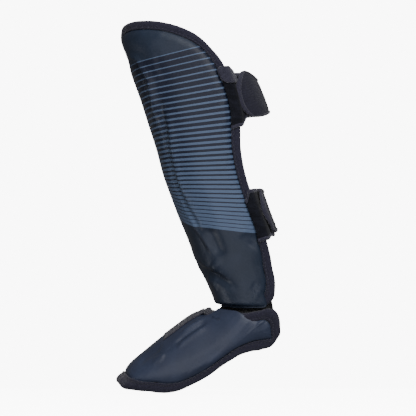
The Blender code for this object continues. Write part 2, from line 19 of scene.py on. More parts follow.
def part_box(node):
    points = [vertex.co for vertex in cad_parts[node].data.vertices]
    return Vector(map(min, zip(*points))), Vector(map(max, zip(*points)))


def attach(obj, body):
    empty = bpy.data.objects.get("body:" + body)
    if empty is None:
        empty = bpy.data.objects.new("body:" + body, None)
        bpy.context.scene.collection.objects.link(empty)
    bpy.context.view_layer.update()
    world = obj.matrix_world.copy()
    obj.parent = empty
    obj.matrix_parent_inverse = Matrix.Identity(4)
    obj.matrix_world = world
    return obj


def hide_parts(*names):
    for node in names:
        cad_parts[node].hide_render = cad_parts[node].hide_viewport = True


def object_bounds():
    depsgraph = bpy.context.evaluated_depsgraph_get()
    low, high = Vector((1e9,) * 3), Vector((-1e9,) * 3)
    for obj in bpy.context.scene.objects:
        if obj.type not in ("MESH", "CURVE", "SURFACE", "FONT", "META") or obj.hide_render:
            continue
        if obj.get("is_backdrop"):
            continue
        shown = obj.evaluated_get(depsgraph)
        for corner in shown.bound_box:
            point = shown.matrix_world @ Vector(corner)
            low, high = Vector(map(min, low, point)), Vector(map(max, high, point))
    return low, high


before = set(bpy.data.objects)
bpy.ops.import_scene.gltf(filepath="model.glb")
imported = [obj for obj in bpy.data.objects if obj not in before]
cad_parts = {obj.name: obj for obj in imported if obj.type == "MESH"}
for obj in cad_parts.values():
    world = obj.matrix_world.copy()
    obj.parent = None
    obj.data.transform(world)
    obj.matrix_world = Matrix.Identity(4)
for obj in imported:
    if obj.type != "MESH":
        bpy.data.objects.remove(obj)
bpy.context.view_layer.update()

LOG = logging.getLogger("guard")
BODY = "root"
SIDE = np.array([1.0, 0.0, 0.0])

# Edges: the flat rim of a pad and the tape folded round it
RIM = 0.0035
TAPE_WALL = 0.0012
TAPE_REACH = 0.0095
CLEARANCE = 0.0005
SHOULDER = 0.011

# The scale at which the wave texture has one line to a unit of its vector
WAVE_PER_UNIT = 0.3183

# How deep under a rim's outer face the cloth lies that is sewn under its tape
UNDER_TAPE = RIM + 2 * CLEARANCE + TAPE_WALL

# How far in from a pad's edge the ankle's cloth reaches
SEWN_INSET = 0.0062


class Section(NamedTuple):
    """One section of a pad: shares of its length, run, half width and depth."""

    along: float
    ridge: float
    width: float
    depth: float


class Edge(NamedTuple):
    """One place of a pad's outline: shares of its length and depth, and of the padding for the recess."""

    along: float
    deep: float
    recess: float


class Shape(Enum):
    """How the leather lies across a fold."""

    SOFT = "soft"
    SHARP = "sharp"
    STEP = "step"


class Fold(NamedTuple):
    """A fold: its path in shares of length and depth, and its size in shares of the padding."""

    path: tuple[tuple[float, float], ...]
    width: float
    height: float
    shape: Shape = Shape.SOFT
    one_side: bool = False


SHIN_SECTIONS = (
    Section(0.000, -0.050, 0.970, 0.74),
    Section(0.074, -0.030, 0.985, 0.75),
    Section(0.126, 0.045, 0.993, 0.76),
    Section(0.217, 0.147, 1.000, 0.76),
    Section(0.329, 0.263, 0.985, 0.74),
    Section(0.441, 0.368, 0.950, 0.71),
    Section(0.553, 0.463, 0.905, 0.67),
    Section(0.665, 0.589, 0.855, 0.63),
    Section(0.778, 0.726, 0.795, 0.58),
    Section(0.862, 0.818, 0.750, 0.54),
    Section(0.890, 0.868, 0.735, 0.53),
    Section(0.946, 0.948, 0.710, 0.50),
    Section(1.000, 1.010, 0.690, 0.48),
)

# Half of the notch over the shin's ridge: here the second column is a share of the half width
SHIN_NOTCH = (
    Edge(0.122, 0.00, 0.18),
    Edge(0.113, 0.14, 0.18),
    Edge(0.078, 0.30, 0.19),
    Edge(0.032, 0.41, 0.20),
)

SHIN_EDGE = (
    Edge(0.003, 0.130, 0.21),
    Edge(-0.001, 0.240, 0.21),
    Edge(0.001, 0.424, 0.20),
    Edge(0.011, 0.580, 0.19),
    Edge(0.028, 0.722, 0.18),
    Edge(0.048, 0.832, 0.17),
    Edge(0.074, 0.912, 0.17),
    Edge(0.105, 0.956, 0.17),
    Edge(0.142, 0.987, 0.17),
    Edge(0.189, 1.003, 0.17),
    Edge(0.252, 1.005, 0.17),
    Edge(0.326, 0.977, 0.17),
    Edge(0.385, 0.928, 0.17),
    Edge(0.441, 0.881, 0.17),
    Edge(0.497, 0.859, 0.17),
    Edge(0.553, 0.851, 0.17),
    Edge(0.609, 0.845, 0.17),
    Edge(0.665, 0.840, 0.17),
    Edge(0.722, 0.835, 0.17),
    Edge(0.778, 0.807, 0.17),
    Edge(0.834, 0.792, 0.17),
    Edge(0.890, 0.740, 0.18),
    Edge(0.932, 0.688, 0.19),
    Edge(0.970, 0.622, 0.21),
    Edge(0.994, 0.515, 0.26),
    Edge(0.998, 0.350, 0.36),
    Edge(0.998, 0.165, 0.46),
    Edge(0.996, 0.000, 0.48),
)

SHIN_FOLDS = (
    Fold(((0.131, 0.097), (0.183, 0.148), (0.235, 0.134), (0.305, 0.098), (0.374, 0.046)), 0.20, 0.10),
    Fold(((0.118, 0.020), (0.140, 0.110), (0.200, 0.150), (0.270, 0.122), (0.345, 0.080)), 0.10, -0.210,
         Shape.STEP, True),
    Fold(((0.270, 0.232), (0.374, 0.182), (0.443, 0.139), (0.512, 0.131), (0.599, 0.116), (0.651, 0.121),
          (0.692, 0.146), (0.799, 0.153)), 0.15, -0.10),
    Fold(((0.290, 0.215), (0.390, 0.165), (0.460, 0.125), (0.560, 0.118), (0.640, 0.112)), 0.09, -0.165,
         Shape.STEP, True),
    Fold(((0.715, 0.262), (0.825, 0.275)), 0.30, -0.130),
    Fold(((0.690, 0.110), (0.760, 0.160), (0.820, 0.215)), 0.13, 0.085),
    Fold(((0.843, 0.000), (0.885, 0.120), (0.925, 0.260)), 0.20, -0.190),
    Fold(((0.845, 0.160), (0.865, 0.206)), 0.40, 0.080),
    Fold(((0.900, 0.030), (0.925, 0.100)), 0.40, 0.070),
    Fold(((0.880, 0.000), (0.893, 0.050), (0.900, 0.110)), 0.07, -0.040, Shape.SHARP),
    Fold(((0.745, 0.730), (0.790, 0.600)), 0.20, -0.060),
    Fold(((0.735, 0.660), (0.760, 0.520)), 0.09, 0.035, Shape.STEP, True),
    Fold(((0.280, 0.860), (0.380, 0.810), (0.490, 0.745)), 0.07, 0.030, Shape.STEP, True),
    Fold(((0.935, 0.560), (0.915, 0.500), (0.935, 0.440), (0.968, 0.450)), 0.07, -0.045, Shape.SHARP, True),
    Fold(((0.975, 0.400), (0.950, 0.470), (0.940, 0.540)), 0.10, 0.050),
    Fold(((0.960, 0.350), (0.945, 0.430)), 0.06, -0.035, Shape.SHARP),
    Fold(((0.105, 0.330), (0.150, 0.290), (0.215, 0.300)), 0.12, 0.025, Shape.STEP, True),
    Fold(((0.560, 0.420), (0.640, 0.390), (0.720, 0.400)), 0.30, 0.030, Shape.SOFT, True),
)

INSTEP_SECTIONS = (
    Section(0.000, -0.780, 1.000, 1.00),
    Section(0.128, -0.530, 1.000, 1.00),
    Section(0.238, -0.306, 0.995, 1.00),
    Section(0.348, -0.097, 0.980, 1.00),
    Section(0.415, 0.000, 0.970, 0.99),
    Section(0.463, 0.042, 0.960, 0.98),
    Section(0.530, 0.118, 0.945, 0.94),
    Section(0.628, 0.278, 0.915, 0.88),
    Section(0.726, 0.444, 0.875, 0.80),
    Section(0.817, 0.611, 0.825, 0.68),
    Section(0.902, 0.778, 0.760, 0.55),
    Section(0.957, 0.903, 0.700, 0.46),
    Section(1.000, 1.000, 0.640, 0.38),
)

INSTEP_EDGE = (
    Edge(0.415, 0.000, 0.16),
    Edge(0.404, 0.080, 0.16),
    Edge(0.348, 0.238, 0.18),
    Edge(0.238, 0.620, 0.22),
    Edge(0.128, 0.965, 0.24),
    Edge(0.050, 1.175, 0.24),
    Edge(0.006, 1.420, 0.24),
    Edge(-0.009, 1.740, 0.24),
    Edge(-0.003, 1.975, 0.24),
    Edge(0.034, 2.068, 0.24),
    Edge(0.104, 1.948, 0.24),
    Edge(0.177, 1.757, 0.24),
    Edge(0.250, 1.617, 0.24),
    Edge(0.329, 1.545, 0.24),
    Edge(0.402, 1.556, 0.24),
    Edge(0.457, 1.600, 0.24),
    Edge(0.543, 1.606, 0.24),
    Edge(0.616, 1.520, 0.24),
    Edge(0.695, 1.350, 0.24),
    Edge(0.787, 1.050, 0.24),
    Edge(0.884, 0.712, 0.24),
    Edge(0.948, 0.420, 0.22),
    Edge(0.985, 0.150, 0.20),
    Edge(1.000, 0.000, 0.18),
)

INSTEP_FOLDS = (
    Fold(((0.427, 0.305), (0.530, 0.350), (0.646, 0.378)), 0.26, -0.200),
    Fold(((0.451, 0.226), (0.604, 0.238)), 0.20, 0.090),
    Fold(((0.439, 0.420), (0.540, 0.480), (0.634, 0.480)), 0.30, 0.110),
    Fold(((0.689, 0.500), (0.768, 0.390)), 0.30, 0.110),
    Fold(((0.640, 0.420), (0.700, 0.400), (0.760, 0.300)), 0.12, -0.060, Shape.SHARP),
    Fold(((0.700, 0.200), (0.770, 0.190), (0.860, 0.150)), 0.50, -0.150),
    Fold(((0.118, 1.130), (0.060, 1.210), (0.020, 1.330)), 0.20, -0.120),
    Fold(((0.135, 1.230), (0.075, 1.330)), 0.24, 0.090),
    Fold(((0.330, 0.900), (0.450, 0.980), (0.560, 0.960)), 0.50, 0.040, Shape.SOFT, True),
    Fold(((0.300, 1.360), (0.420, 1.300), (0.520, 1.340)), 0.14, 0.040, Shape.STEP, True),
)


def read_smoothly(places: np.ndarray, values: np.ndarray, wanted: np.ndarray) -> np.ndarray:
    """Reads a table along one smooth curve through its rows.

    Args:
        places: where the rows lie, rising.
        values: what each row holds.
        wanted: the places to read.

    Returns:
        The value at each wanted place.
    """
    places = np.asarray(places, float)
    values = np.asarray(values, float)
    wanted = np.clip(wanted, places[0], places[-1])
    slopes = np.gradient(values, places)
    cell = np.clip(np.searchsorted(places, wanted, side="right") - 1, 0, len(places) - 2)
    width = places[cell + 1] - places[cell]
    share = (wanted - places[cell]) / width
    rest = 1.0 - share
    return (
        rest * rest * (1.0 + 2.0 * share) * values[cell]
        + share * rest * rest * width * slopes[cell]
        + share * share * (1.0 + 2.0 * rest) * values[cell + 1]
        - share * share * rest * width * slopes[cell + 1]
    )


def rise(share: np.ndarray) -> np.ndarray:
    """Zero below 0, one above 1 and smooth between."""
    share = np.clip(share, 0.0, 1.0)
    return share * share * (3.0 - 2.0 * share)


def lengths_along(points: np.ndarray) -> np.ndarray:
    """The distance walked to each point of a polyline."""
    steps = np.linalg.norm(np.diff(points, axis=0), axis=1)
    return np.concatenate([[0.0], np.cumsum(steps)])


def away_from(sheet: np.ndarray, inside: np.ndarray) -> np.ndarray:
    """The direction of a sheet's face that looks away from a point.

    Args:
        sheet: the sheet's points, row by row.
        inside: the point on its other side.

    Returns:
        The direction at each of its points.
    """
    out = np.cross(np.gradient(sheet, axis=0), np.gradient(sheet, axis=1))
    out /= np.maximum(np.linalg.norm(out, axis=2, keepdims=True), 1e-12)
    return out * np.sign((out * (sheet - inside)).sum(axis=2, keepdims=True))


def gap_to_path(points: np.ndarray, path: np.ndarray) -> tuple[np.ndarray, np.ndarray]:
    """How far plane points lie from a polyline.

    Args:
        points: the plane points.
        path: the polyline's points.

    Returns:
        The distance of each point, signed by its side, and the share of the path at its nearest place.
    """
    starts = path[:-1]
    steps = np.diff(path, axis=0)
    squares = np.maximum((steps**2).sum(axis=1), 1e-18)
    travelled = lengths_along(path)
    gaps, shares = [], []
    for part in np.array_split(points, max(1, len(points) // 3000)):
        offsets = part[:, None, :] - starts[None, :, :]
        share = np.clip((offsets * steps).sum(axis=2) / squares, 0.0, 1.0)
        apart = np.linalg.norm(offsets - share[:, :, None] * steps, axis=2)
        nearest = apart.argmin(axis=1)
        rows = np.arange(len(part))
        turn = steps[nearest, 0] * offsets[rows, nearest, 1] - steps[nearest, 1] * offsets[rows, nearest, 0]
        gaps.append(apart[rows, nearest] * np.where(turn < 0.0, -1.0, 1.0))
        shares.append((travelled[nearest] + share[rows, nearest] * np.sqrt(squares[nearest])) / travelled[-1])
    return np.concatenate(gaps), np.concatenate(shares)


def ripple(across: np.ndarray, down: np.ndarray, waves: tuple[float, ...], seed: int) -> np.ndarray:
    """A smooth irregular wave over a surface, between about -1 and 1.

    Args:
        across: first coordinate, in metres.
        down: second coordinate, in metres.
        waves: the wavelengths that it mixes, in metres.
        seed: which of such patterns it is.

    Returns:
        The wave at each place.
    """
    chance = np.random.default_rng(seed)
    total = np.zeros(np.broadcast(across, down).shape)
    for wave in waves:
        turn, phase = chance.uniform(0.0, 2 * np.pi, 2)
        total = total + np.sin(2 * np.pi * (across * np.cos(turn) + down * np.sin(turn)) / wave + phase)
    return total / len(waves)


@dataclass
class PadSurface:
    """A U-shaped surface with a flat rim: its ridge runs along one axis and its wings along another."""

    start: np.ndarray
    down: np.ndarray
    back: np.ndarray
    length: float
    run: float
    width: float
    depth: float
    padding: float
    side_padding: float
    sections: tuple[Section, ...]
    edge: tuple[Edge, ...]
    notch: tuple[Edge, ...] = ()
    exponent: float = 2.8
    curl: float = 0.35
    profile_steps: int = 2400
    leg_reach: float = 1.6
    outline_steps: int = 480

    def __post_init__(self) -> None:
        """Works out the U section and the outline once."""
        turn = np.linspace(0.0, np.pi / 2, self.profile_steps)
        leg = np.linspace(0.0, self.leg_reach, self.profile_steps)[1:]
        across = np.concatenate([np.sin(turn) ** (2 / self.exponent), 1.0 - self.curl * leg**2 / (1.0 + leg)])
        deep = np.concatenate([1.0 - np.cos(turn) ** (2 / self.exponent), 1.0 + leg])
        self.profile = lengths_along(np.column_stack([across, deep])), across, deep
        self.trace_outline()

    def section(self, along: np.ndarray) -> tuple[np.ndarray, ...]:
        """Reads the U at some places along the pad.

        Args:
            along: the places, in metres.

        Returns:
            The ridge's offset, the half width, the depth and the mean radius at each.
        """
        places = [row.along for row in self.sections]
        share = along / self.length
        ridge = self.run * read_smoothly(places, [row.ridge for row in self.sections], share)
        width = self.width / 2 * read_smoothly(places, [row.width for row in self.sections], share)
        depth = self.depth * read_smoothly(places, [row.depth for row in self.sections], share)
        return ridge, width, depth, (width + depth) / 2

    def travel_at_depth(self, along: np.ndarray, deep: np.ndarray) -> np.ndarray:
        """The travel at which the U is that deep."""
        _, _, depth, radius = self.section(along)
        return radius * np.interp(deep / depth, self.profile[2], self.profile[0])

    def travel_at_width(self, along: np.ndarray, share: np.ndarray) -> np.ndarray:
        """The travel at which the U has some share of its half width.

        Args:
            along: places along the pad.
            share: the share at each.

        Returns:
            The travel at each.
        """
        _, _, _, radius = self.section(along)
        travel, widths, _ = self.profile
        return radius * np.interp(share, widths[: self.profile_steps], travel[: self.profile_steps])

    def base(self, travel: np.ndarray, along: np.ndarray) -> np.ndarray:
        """Points of the smooth surface before padding and folds.

        Args:
            travel: way round the U from the ridge, negative on the -X side.
            along: way down the pad.

        Returns:
            The points.
        """
        ridge, width, depth, radius = self.section(along)
        lengths, widths, depths = self.profile
        turned = np.abs(travel) / radius
        across = np.sign(travel) * width * np.interp(turned, lengths, widths)
        deep = ridge + depth * np.interp(turned, lengths, depths)
        point = self.start + along[..., None] * self.down + deep[..., None] * self.back
        return point + across[..., None] * SIDE

    def outward(self, travel: np.ndarray, along: np.ndarray) -> np.ndarray:
        """The surface's direction away from the leg.

        Args:
            travel: way round the U, of which one is near the ridge.
            along: way down the pad.

        Returns:
            The direction at each place.
        """
        step = 0.0015
        round_u = self.base(travel + step, along) - self.base(travel - step, along)
        down_u = self.base(travel, along + step) - self.base(travel, along - step)
        normal = np.cross(down_u, round_u)
        normal /= np.linalg.norm(normal, axis=-1, keepdims=True)
        probe = (normal * self.back).sum(axis=-1)
        return normal if probe.flat[np.abs(travel).argmin()] < 0 else -normal

    def trace_outline(self) -> None:
        """The closed outline, evenly spaced, with the rim's recess."""
        along = self.length * np.array([row.along for row in [*self.notch, *self.edge]])
        count = len(self.notch)
        travel = np.concatenate([
            self.travel_at_width(along[:count], np.array([row.deep for row in self.notch])),
            self.travel_at_depth(along[count:], self.depth * np.array([row.deep for row in self.edge])),
        ])
        recess = self.padding * np.array([row.recess for row in [*self.notch, *self.edge]])
        half = np.column_stack([travel, along, recess])
        flip = np.array([-1.0, 1.0, 1.0])
        ring = np.concatenate([half[1:4][::-1] * flip, half, half[-4:-1][::-1] * flip])
        places = lengths_along(ring[:, :2])
        fine = np.linspace(places[3], places[-4], self.outline_steps)
        curve = np.column_stack([read_smoothly(places, column, fine) for column in ring.T])
        curve[0, 0] = curve[-1, 0] = 0.0
        loop = np.concatenate([curve, curve[-2::-1] * flip])
        self.loop_places = lengths_along(loop[:, :2])
        self.perimeter = self.loop_places[-1]
        self.loop_places = self.loop_places / self.perimeter
        self.loop = loop

    def outline(self, share: np.ndarray) -> tuple[np.ndarray, np.ndarray]:
        """Places of the outline.

        Args:
            share: shares of the way round it from the ridge's top.

        Returns:
            Travel, along and recess at each share, and the inward direction.
        """
        step = TAPE_REACH / self.perimeter

        def read(at: np.ndarray) -> np.ndarray:
            """Rows of the outline at some shares."""
            return np.column_stack([np.interp(at % 1.0, self.loop_places, column) for column in self.loop.T])

        tangent = read(share + step)[:, :2] - read(share - step)[:, :2]
        tangent /= np.linalg.norm(tangent, axis=1, keepdims=True)
        return read(share), np.column_stack([-tangent[:, 1], tangent[:, 0]])

    def tip_share(self) -> float:
        """Share of the outline at the rear end of the +X wing."""
        return float(self.loop_places[self.loop[: self.outline_steps, 1].argmin()])

    def border(self, share: np.ndarray, inset: np.ndarray, depth: np.ndarray) -> np.ndarray:
        """Points near the pad's edge.

        Args:
            share: shares of the way round the outline.
            inset: how far in from it.
            depth: how far under the rim's outer face.

        Returns:
            The points.
        """
        spots, inward = self.outline(share)
        place = spots[:, :2] + inward * np.reshape(inset, (-1, 1))
        normal = self.outward(place[:, 0], place[:, 1])
        return self.base(place[:, 0], place[:, 1]) - normal * (spots[:, 2:] + np.reshape(depth, (-1, 1)))

    def fold_height(self, travel: np.ndarray, along: np.ndarray, folds: tuple[Fold, ...]) -> np.ndarray:
        """How far the folds lift the leather.

        Args:
            travel: way round the U.
            along: way down the pad.
            folds: the folds, which fade out at their ends.

        Returns:
            The lift at each place.
        """
        mirrored = np.column_stack([np.abs(travel), along])
        single = np.column_stack([travel, along])
        height = np.zeros(len(mirrored))
        for fold in folds:
            down = self.length * np.array([spot[0] for spot in fold.path])
            round_u = self.travel_at_depth(down, self.depth * np.array([spot[1] for spot in fold.path]))
            path = np.column_stack([round_u, down])
            gap, share = gap_to_path(single if fold.one_side else mirrored, path)
            gap = gap / (fold.width * self.padding)
            fade = 0.15 + 0.85 * rise(share / 0.25) * rise((1.0 - share) / 0.25)
            if fold.shape is Shape.SHARP:
                lift = np.exp(-1.6 * np.abs(gap))
            elif fold.shape is Shape.STEP:
                lift = np.tanh(gap) * np.exp(-((gap / 3.5) ** 2))
            else:
                lift = np.exp(-(gap**2))
            height += fold.height * self.padding * lift * fade
        return height

    @staticmethod
    def unrest(travel: np.ndarray, along: np.ndarray) -> np.ndarray:
        """The slight unevenness of the foam under the leather."""
        return 0.00040 * ripple(travel, along, (0.031, 0.047, 0.071, 0.113), 3)


class Graph:
    """A material's nodes, with short calls to add and join them."""

    def __init__(self, name: str) -> None:
        """Starts from a plain Principled material.

        Args:
            name: the material's name.
        """
        self.material = bpy.data.materials.new(name)
        self.material.use_nodes = True
        self.tree = self.material.node_tree
        self.shader = self.tree.nodes["Principled BSDF"]
        self.shader.inputs["Metallic"].default_value = 0.0

    def node(self, kind: str, inputs: Optional[dict] = None, **settings: object) -> bpy.types.Node:
        """Adds a node.

        Args:
            kind: the node's type.
            inputs: values or sockets by the name or number of the input.
            settings: the node's own properties.

        Returns:
            The node.
        """
        made = self.tree.nodes.new(kind)
        for key, value in settings.items():
            setattr(made, key, value)
        for key, value in (inputs or {}).items():
            self.feed(made.inputs[key], value)
        return made

    def feed(self, target: bpy.types.NodeSocket, value: object) -> None:
        """Links a socket to an input, or sets the input's value.

        Args:
            target: the input.
            value: a socket or a value.
        """
        if isinstance(value, bpy.types.NodeSocket):
            self.tree.links.new(value, target)
        else:
            target.default_value = value

    def place(self, scale: tuple[float, float, float] = (1, 1, 1)) -> bpy.types.NodeSocket:
        """Object coordinates, stretched."""
        coordinates = self.node("ShaderNodeTexCoord").outputs["Object"]
        return self.node("ShaderNodeMapping", {"Vector": coordinates, "Scale": scale}).outputs["Vector"]

    def cloth_place(self, scale: tuple[float, float, float]) -> bpy.types.NodeSocket:
        """The piece's own map, in metres along and across the cloth, stretched."""
        coordinates = self.node("ShaderNodeUVMap", uv_map="cloth").outputs["UV"]
        return self.node("ShaderNodeMapping", {"Vector": coordinates, "Scale": scale}).outputs["Vector"]

    def mark(self, name: str) -> bpy.types.NodeSocket:
        """A number kept at each point of the piece."""
        return self.node("ShaderNodeAttribute", attribute_name=name).outputs["Fac"]

    def math(self, operation: str, *values: object, clamp: bool = False) -> bpy.types.NodeSocket:
        """One sum of up to three values or sockets."""
        made = self.node("ShaderNodeMath", dict(enumerate(values)), operation=operation, use_clamp=clamp)
        return made.outputs[0]

    def spread(self, value: object, low: float, high: float, to_low: float = 0.0,
               to_high: float = 1.0) -> bpy.types.NodeSocket:
        """A value moved smoothly from one range into another."""
        inputs = {"Value": value, "From Min": low, "From Max": high, "To Min": to_low, "To Max": to_high}
        return self.node("ShaderNodeMapRange", inputs, interpolation_type="SMOOTHSTEP").outputs["Result"]

    def noise(self, vector: object, scale: float, detail: float = 3.0,
              roughness: float = 0.5) -> bpy.types.NodeSocket:
        """A cloud of noise."""
        inputs = {"Vector": vector, "Scale": scale, "Detail": detail, "Roughness": roughness}
        return self.node("ShaderNodeTexNoise", inputs).outputs["Fac"]

    def blend(self, factor: object, first: object, second: object) -> bpy.types.NodeSocket:
        """A colour between two.

        Args:
            factor: zero for the first and one for the second.
            first: a colour or a socket.
            second: a colour or a socket.

        Returns:
            The blended colour.
        """
        made = self.node("ShaderNodeMix", data_type="RGBA")
        for index, value in ((0, factor), (6, first), (7, second)):
            if isinstance(value, tuple) and len(value) == 3:
                value = (*value, 1.0)
            self.feed(made.inputs[index], value)
        return made.outputs[2]

    def bump(self, height: object, distance: float, strength: object = 1.0,
             under: Optional[bpy.types.NodeSocket] = None) -> bpy.types.NodeSocket:
        """A bump on the surface.

        Args:
            height: the relief, from zero to one.
            distance: what one of it is in metres.
            strength: how much of it shows.
            under: another bump that it lies on.

        Returns:
            The surface's direction with the bump.
        """
        inputs = {"Height": height, "Distance": distance, "Strength": strength}
        if under is not None:
            inputs["Normal"] = under
        return self.node("ShaderNodeBump", inputs).outputs["Normal"]

    def shade(self, **values: object) -> bpy.types.Material:
        """Sets the shader's inputs, with _ for a space in their names.

        Args:
            values: values or sockets by input name.

        Returns:
            The finished material.
        """
        for key, value in values.items():
            if isinstance(value, tuple) and len(value) == 3:
                value = (*value, 1.0)
            self.feed(self.shader.inputs[key.replace("_", " ")], value)
        return self.material


@dataclass(frozen=True)
class GrainedLeather:
    """Smooth coated leather with a fine grain, soft gloss and, on the shin, printed stripes."""

    name: str
    colour: tuple[float, float, float] = (0.0160, 0.0245, 0.0465)
    worn: tuple[float, float, float] = (0.045, 0.060, 0.092)
    ink: tuple[float, float, float] = (0.098, 0.143, 0.242)
    ground: tuple[float, float, float] = (0.0072, 0.0102, 0.0280)
    printed: bool = False
    stripes: int = 36
    first_share: float = 0.145
    last_share: float = 0.85
    specular: float = 0.30
    coat: float = 0.06

    def stripe_mask(self, graph: Graph) -> bpy.types.NodeSocket:
        """Where the printed stripes are.

        Args:
            graph: the material's nodes.

        Returns:
            One on a stripe and zero on the bare leather between.
        """
        band = graph.mark("band")
        number = graph.math("FLOOR", graph.math("ADD", band, 0.5))
        apart = graph.math("ABSOLUTE", graph.math("SUBTRACT", band, number))
        widening = (self.last_share - self.first_share) / (self.stripes - 1) / 2
        half = graph.math("MULTIPLY_ADD", number, widening, self.first_share / 2)
        inside = graph.math("SUBTRACT", half, apart)
        ink = graph.spread(inside, -0.035, 0.035)
        started = graph.math("GREATER_THAN", band, -0.5)
        ended = graph.math("LESS_THAN", band, self.stripes - 0.5)
        return graph.math("MULTIPLY", ink, graph.math("MULTIPLY", started, ended))

    def printed_area(self, graph: Graph) -> bpy.types.NodeSocket:
        """Where the print's ground is, which is darker than the leather.

        Args:
            graph: the material's nodes.

        Returns:
            One between the first and the last stripe and zero elsewhere.
        """
        band = graph.mark("band")
        started = graph.spread(band, -0.3, 0.3)
        ended = graph.spread(band, self.stripes - 0.9, self.stripes - 0.6, 1.0, 0.0)
        return graph.math("MULTIPLY", started, ended)

    def material(self) -> bpy.types.Material:
        """Builds the finish.

        Returns:
            The material.
        """
        graph = Graph(self.name)
        place = graph.place()
        cloud = graph.noise(place, 34.0, 4.0)
        fine = graph.noise(place, 900.0, 3.0, 0.6)
        pebbles = graph.node("ShaderNodeTexVoronoi", {"Vector": place, "Scale": 1150.0, "Smoothness": 0.6},
                             feature="SMOOTH_F1").outputs["Distance"]
        patches = graph.spread(graph.noise(place, 160.0, 5.0, 0.7), 0.42, 0.72)
        wear = graph.math("MULTIPLY", graph.mark("wear"), patches)
        paler = tuple(1.22 * share for share in self.colour)
        colour = graph.blend(graph.spread(cloud, 0.35, 0.68), self.colour, paler)
        roughness = graph.spread(cloud, 0.3, 0.7, 0.46, 0.54)
        if self.printed:
            ink = self.stripe_mask(graph)
            ink = graph.math("MULTIPLY", ink, graph.spread(fine, 0.25, 0.5, 0.86, 1.0))
            colour = graph.blend(self.printed_area(graph), colour, self.ground)
            colour = graph.blend(ink, colour, self.ink)
            roughness = graph.math("MULTIPLY_ADD", ink, 0.06, 0.48)
        colour = graph.blend(graph.math("MULTIPLY", wear, 0.35), colour, self.worn)
        slack = graph.mark("slack")
        crumple = graph.noise(graph.place((1.0, 1.0, 0.45)), 105.0, 5.0, 0.62)
        normal = graph.bump(crumple, 0.0011, graph.math("MULTIPLY_ADD", slack, 0.55, 0.10))
        normal = graph.bump(pebbles, 0.00016, 0.30, normal)
        normal = graph.bump(fine, 0.00006, 0.35, normal)
        return graph.shade(
            Base_Color=colour, Roughness=roughness, Normal=normal, Coat_Weight=self.coat, Coat_Roughness=0.28,
            Specular_IOR_Level=self.specular,
        )


@dataclass(frozen=True)
class WovenTape:
    """Matte ribbed tape, as on bound edges."""

    name: str
    colour: tuple[float, float, float] = (0.0150, 0.0140, 0.0300)
    fluff: tuple[float, float, float] = (0.046, 0.044, 0.078)
    rib: float = 0.0013
    thread: float = 0.0009
    relief: float = 0.00028
    sheen: float = 0.22

    @staticmethod
    def lines(graph: Graph, scale: tuple[float, float, float], axis: str,
              unrest: float) -> bpy.types.NodeSocket:
        """Parallel lines on the cloth's own map.

        Args:
            graph: the material's nodes.
            scale: lines to the metre along each axis of the map.
            axis: the axis that they follow each other along.
            unrest: how unevenly they run.

        Returns:
            The lines' height.
        """
        inputs = {"Vector": graph.cloth_place(scale), "Scale": WAVE_PER_UNIT, "Distortion": unrest,
                  "Detail": 1.0, "Detail Scale": 0.6}
        made = graph.node("ShaderNodeTexWave", inputs, wave_type="BANDS", bands_direction=axis)
        return made.outputs["Fac"]

    def material(self) -> bpy.types.Material:
        """Builds the finish.

        Returns:
            The material.
        """
        graph = Graph(self.name)
        ribs = self.lines(graph, (1.0 / self.rib, 0.0, 0.0), "X", 0.35)
        threads = self.lines(graph, (0.0, 1.0 / self.thread, 0.0), "Y", 0.25)
        lint = graph.noise(graph.place(), 620.0, 5.0, 0.68)
        weave = graph.math("MULTIPLY", graph.math("ADD", ribs, 0.35), graph.math("ADD", threads, 0.55))
        raised = graph.math("MULTIPLY", weave, 0.22)
        linted = graph.math("MULTIPLY", graph.spread(lint, 0.40, 0.78), 0.55)
        light = graph.math("ADD", raised, linted, clamp=True)
        colour = graph.blend(light, self.colour, self.fluff)
        normal = graph.bump(weave, self.relief, 0.75)
        normal = graph.bump(lint, 0.00025, 0.35, normal)
        return graph.shade(
            Base_Color=colour, Roughness=0.86, Normal=normal, Sheen_Weight=self.sheen, Sheen_Roughness=0.45,
            Specular_IOR_Level=0.28,
        )


@dataclass(frozen=True)
class LoopPile:
    """The brushed loops of a closing panel, or a brushed lining."""

    name: str
    colour: tuple[float, float, float] = (0.0036, 0.0042, 0.0080)
    tips: tuple[float, float, float] = (0.013, 0.014, 0.025)
    sheen: float = 0.18

    def material(self) -> bpy.types.Material:
        """Builds the finish.

        Returns:
            The material.
        """
        graph = Graph(self.name)
        place = graph.place()
        loops = graph.node("ShaderNodeTexVoronoi", {"Vector": place, "Scale": 760.0, "Randomness": 1.0},
                           feature="F1").outputs["Distance"]
        lie = graph.noise(graph.place((1.0, 0.6, 1.6)), 120.0, 5.0, 0.65)
        raised = graph.math("MULTIPLY", graph.spread(lie, 0.35, 0.75), 0.8)
        colour = graph.blend(raised, self.colour, self.tips)
        normal = graph.bump(loops, 0.0006, 0.6)
        normal = graph.bump(lie, 0.0007, 0.4, normal)
        return graph.shade(
            Base_Color=colour, Roughness=0.95, Normal=normal, Sheen_Weight=self.sheen, Sheen_Roughness=0.6,
            Specular_IOR_Level=0.15,
        )


@dataclass(frozen=True)
class SewingThread:
    """Twisted thread of a stitch."""

    name: str
    colour: tuple[float, float, float] = (0.040, 0.039, 0.052)

    def material(self) -> bpy.types.Material:
        """Builds the finish.

        Returns:
            The material.
        """
        graph = Graph(self.name)
        twist = graph.noise(graph.place(), 2600.0, 2.0)
        colour = graph.blend(twist, self.colour, tuple(1.7 * c for c in self.colour))
        return graph.shade(Base_Color=colour, Roughness=0.62, Normal=graph.bump(twist, 0.0002, 0.5))


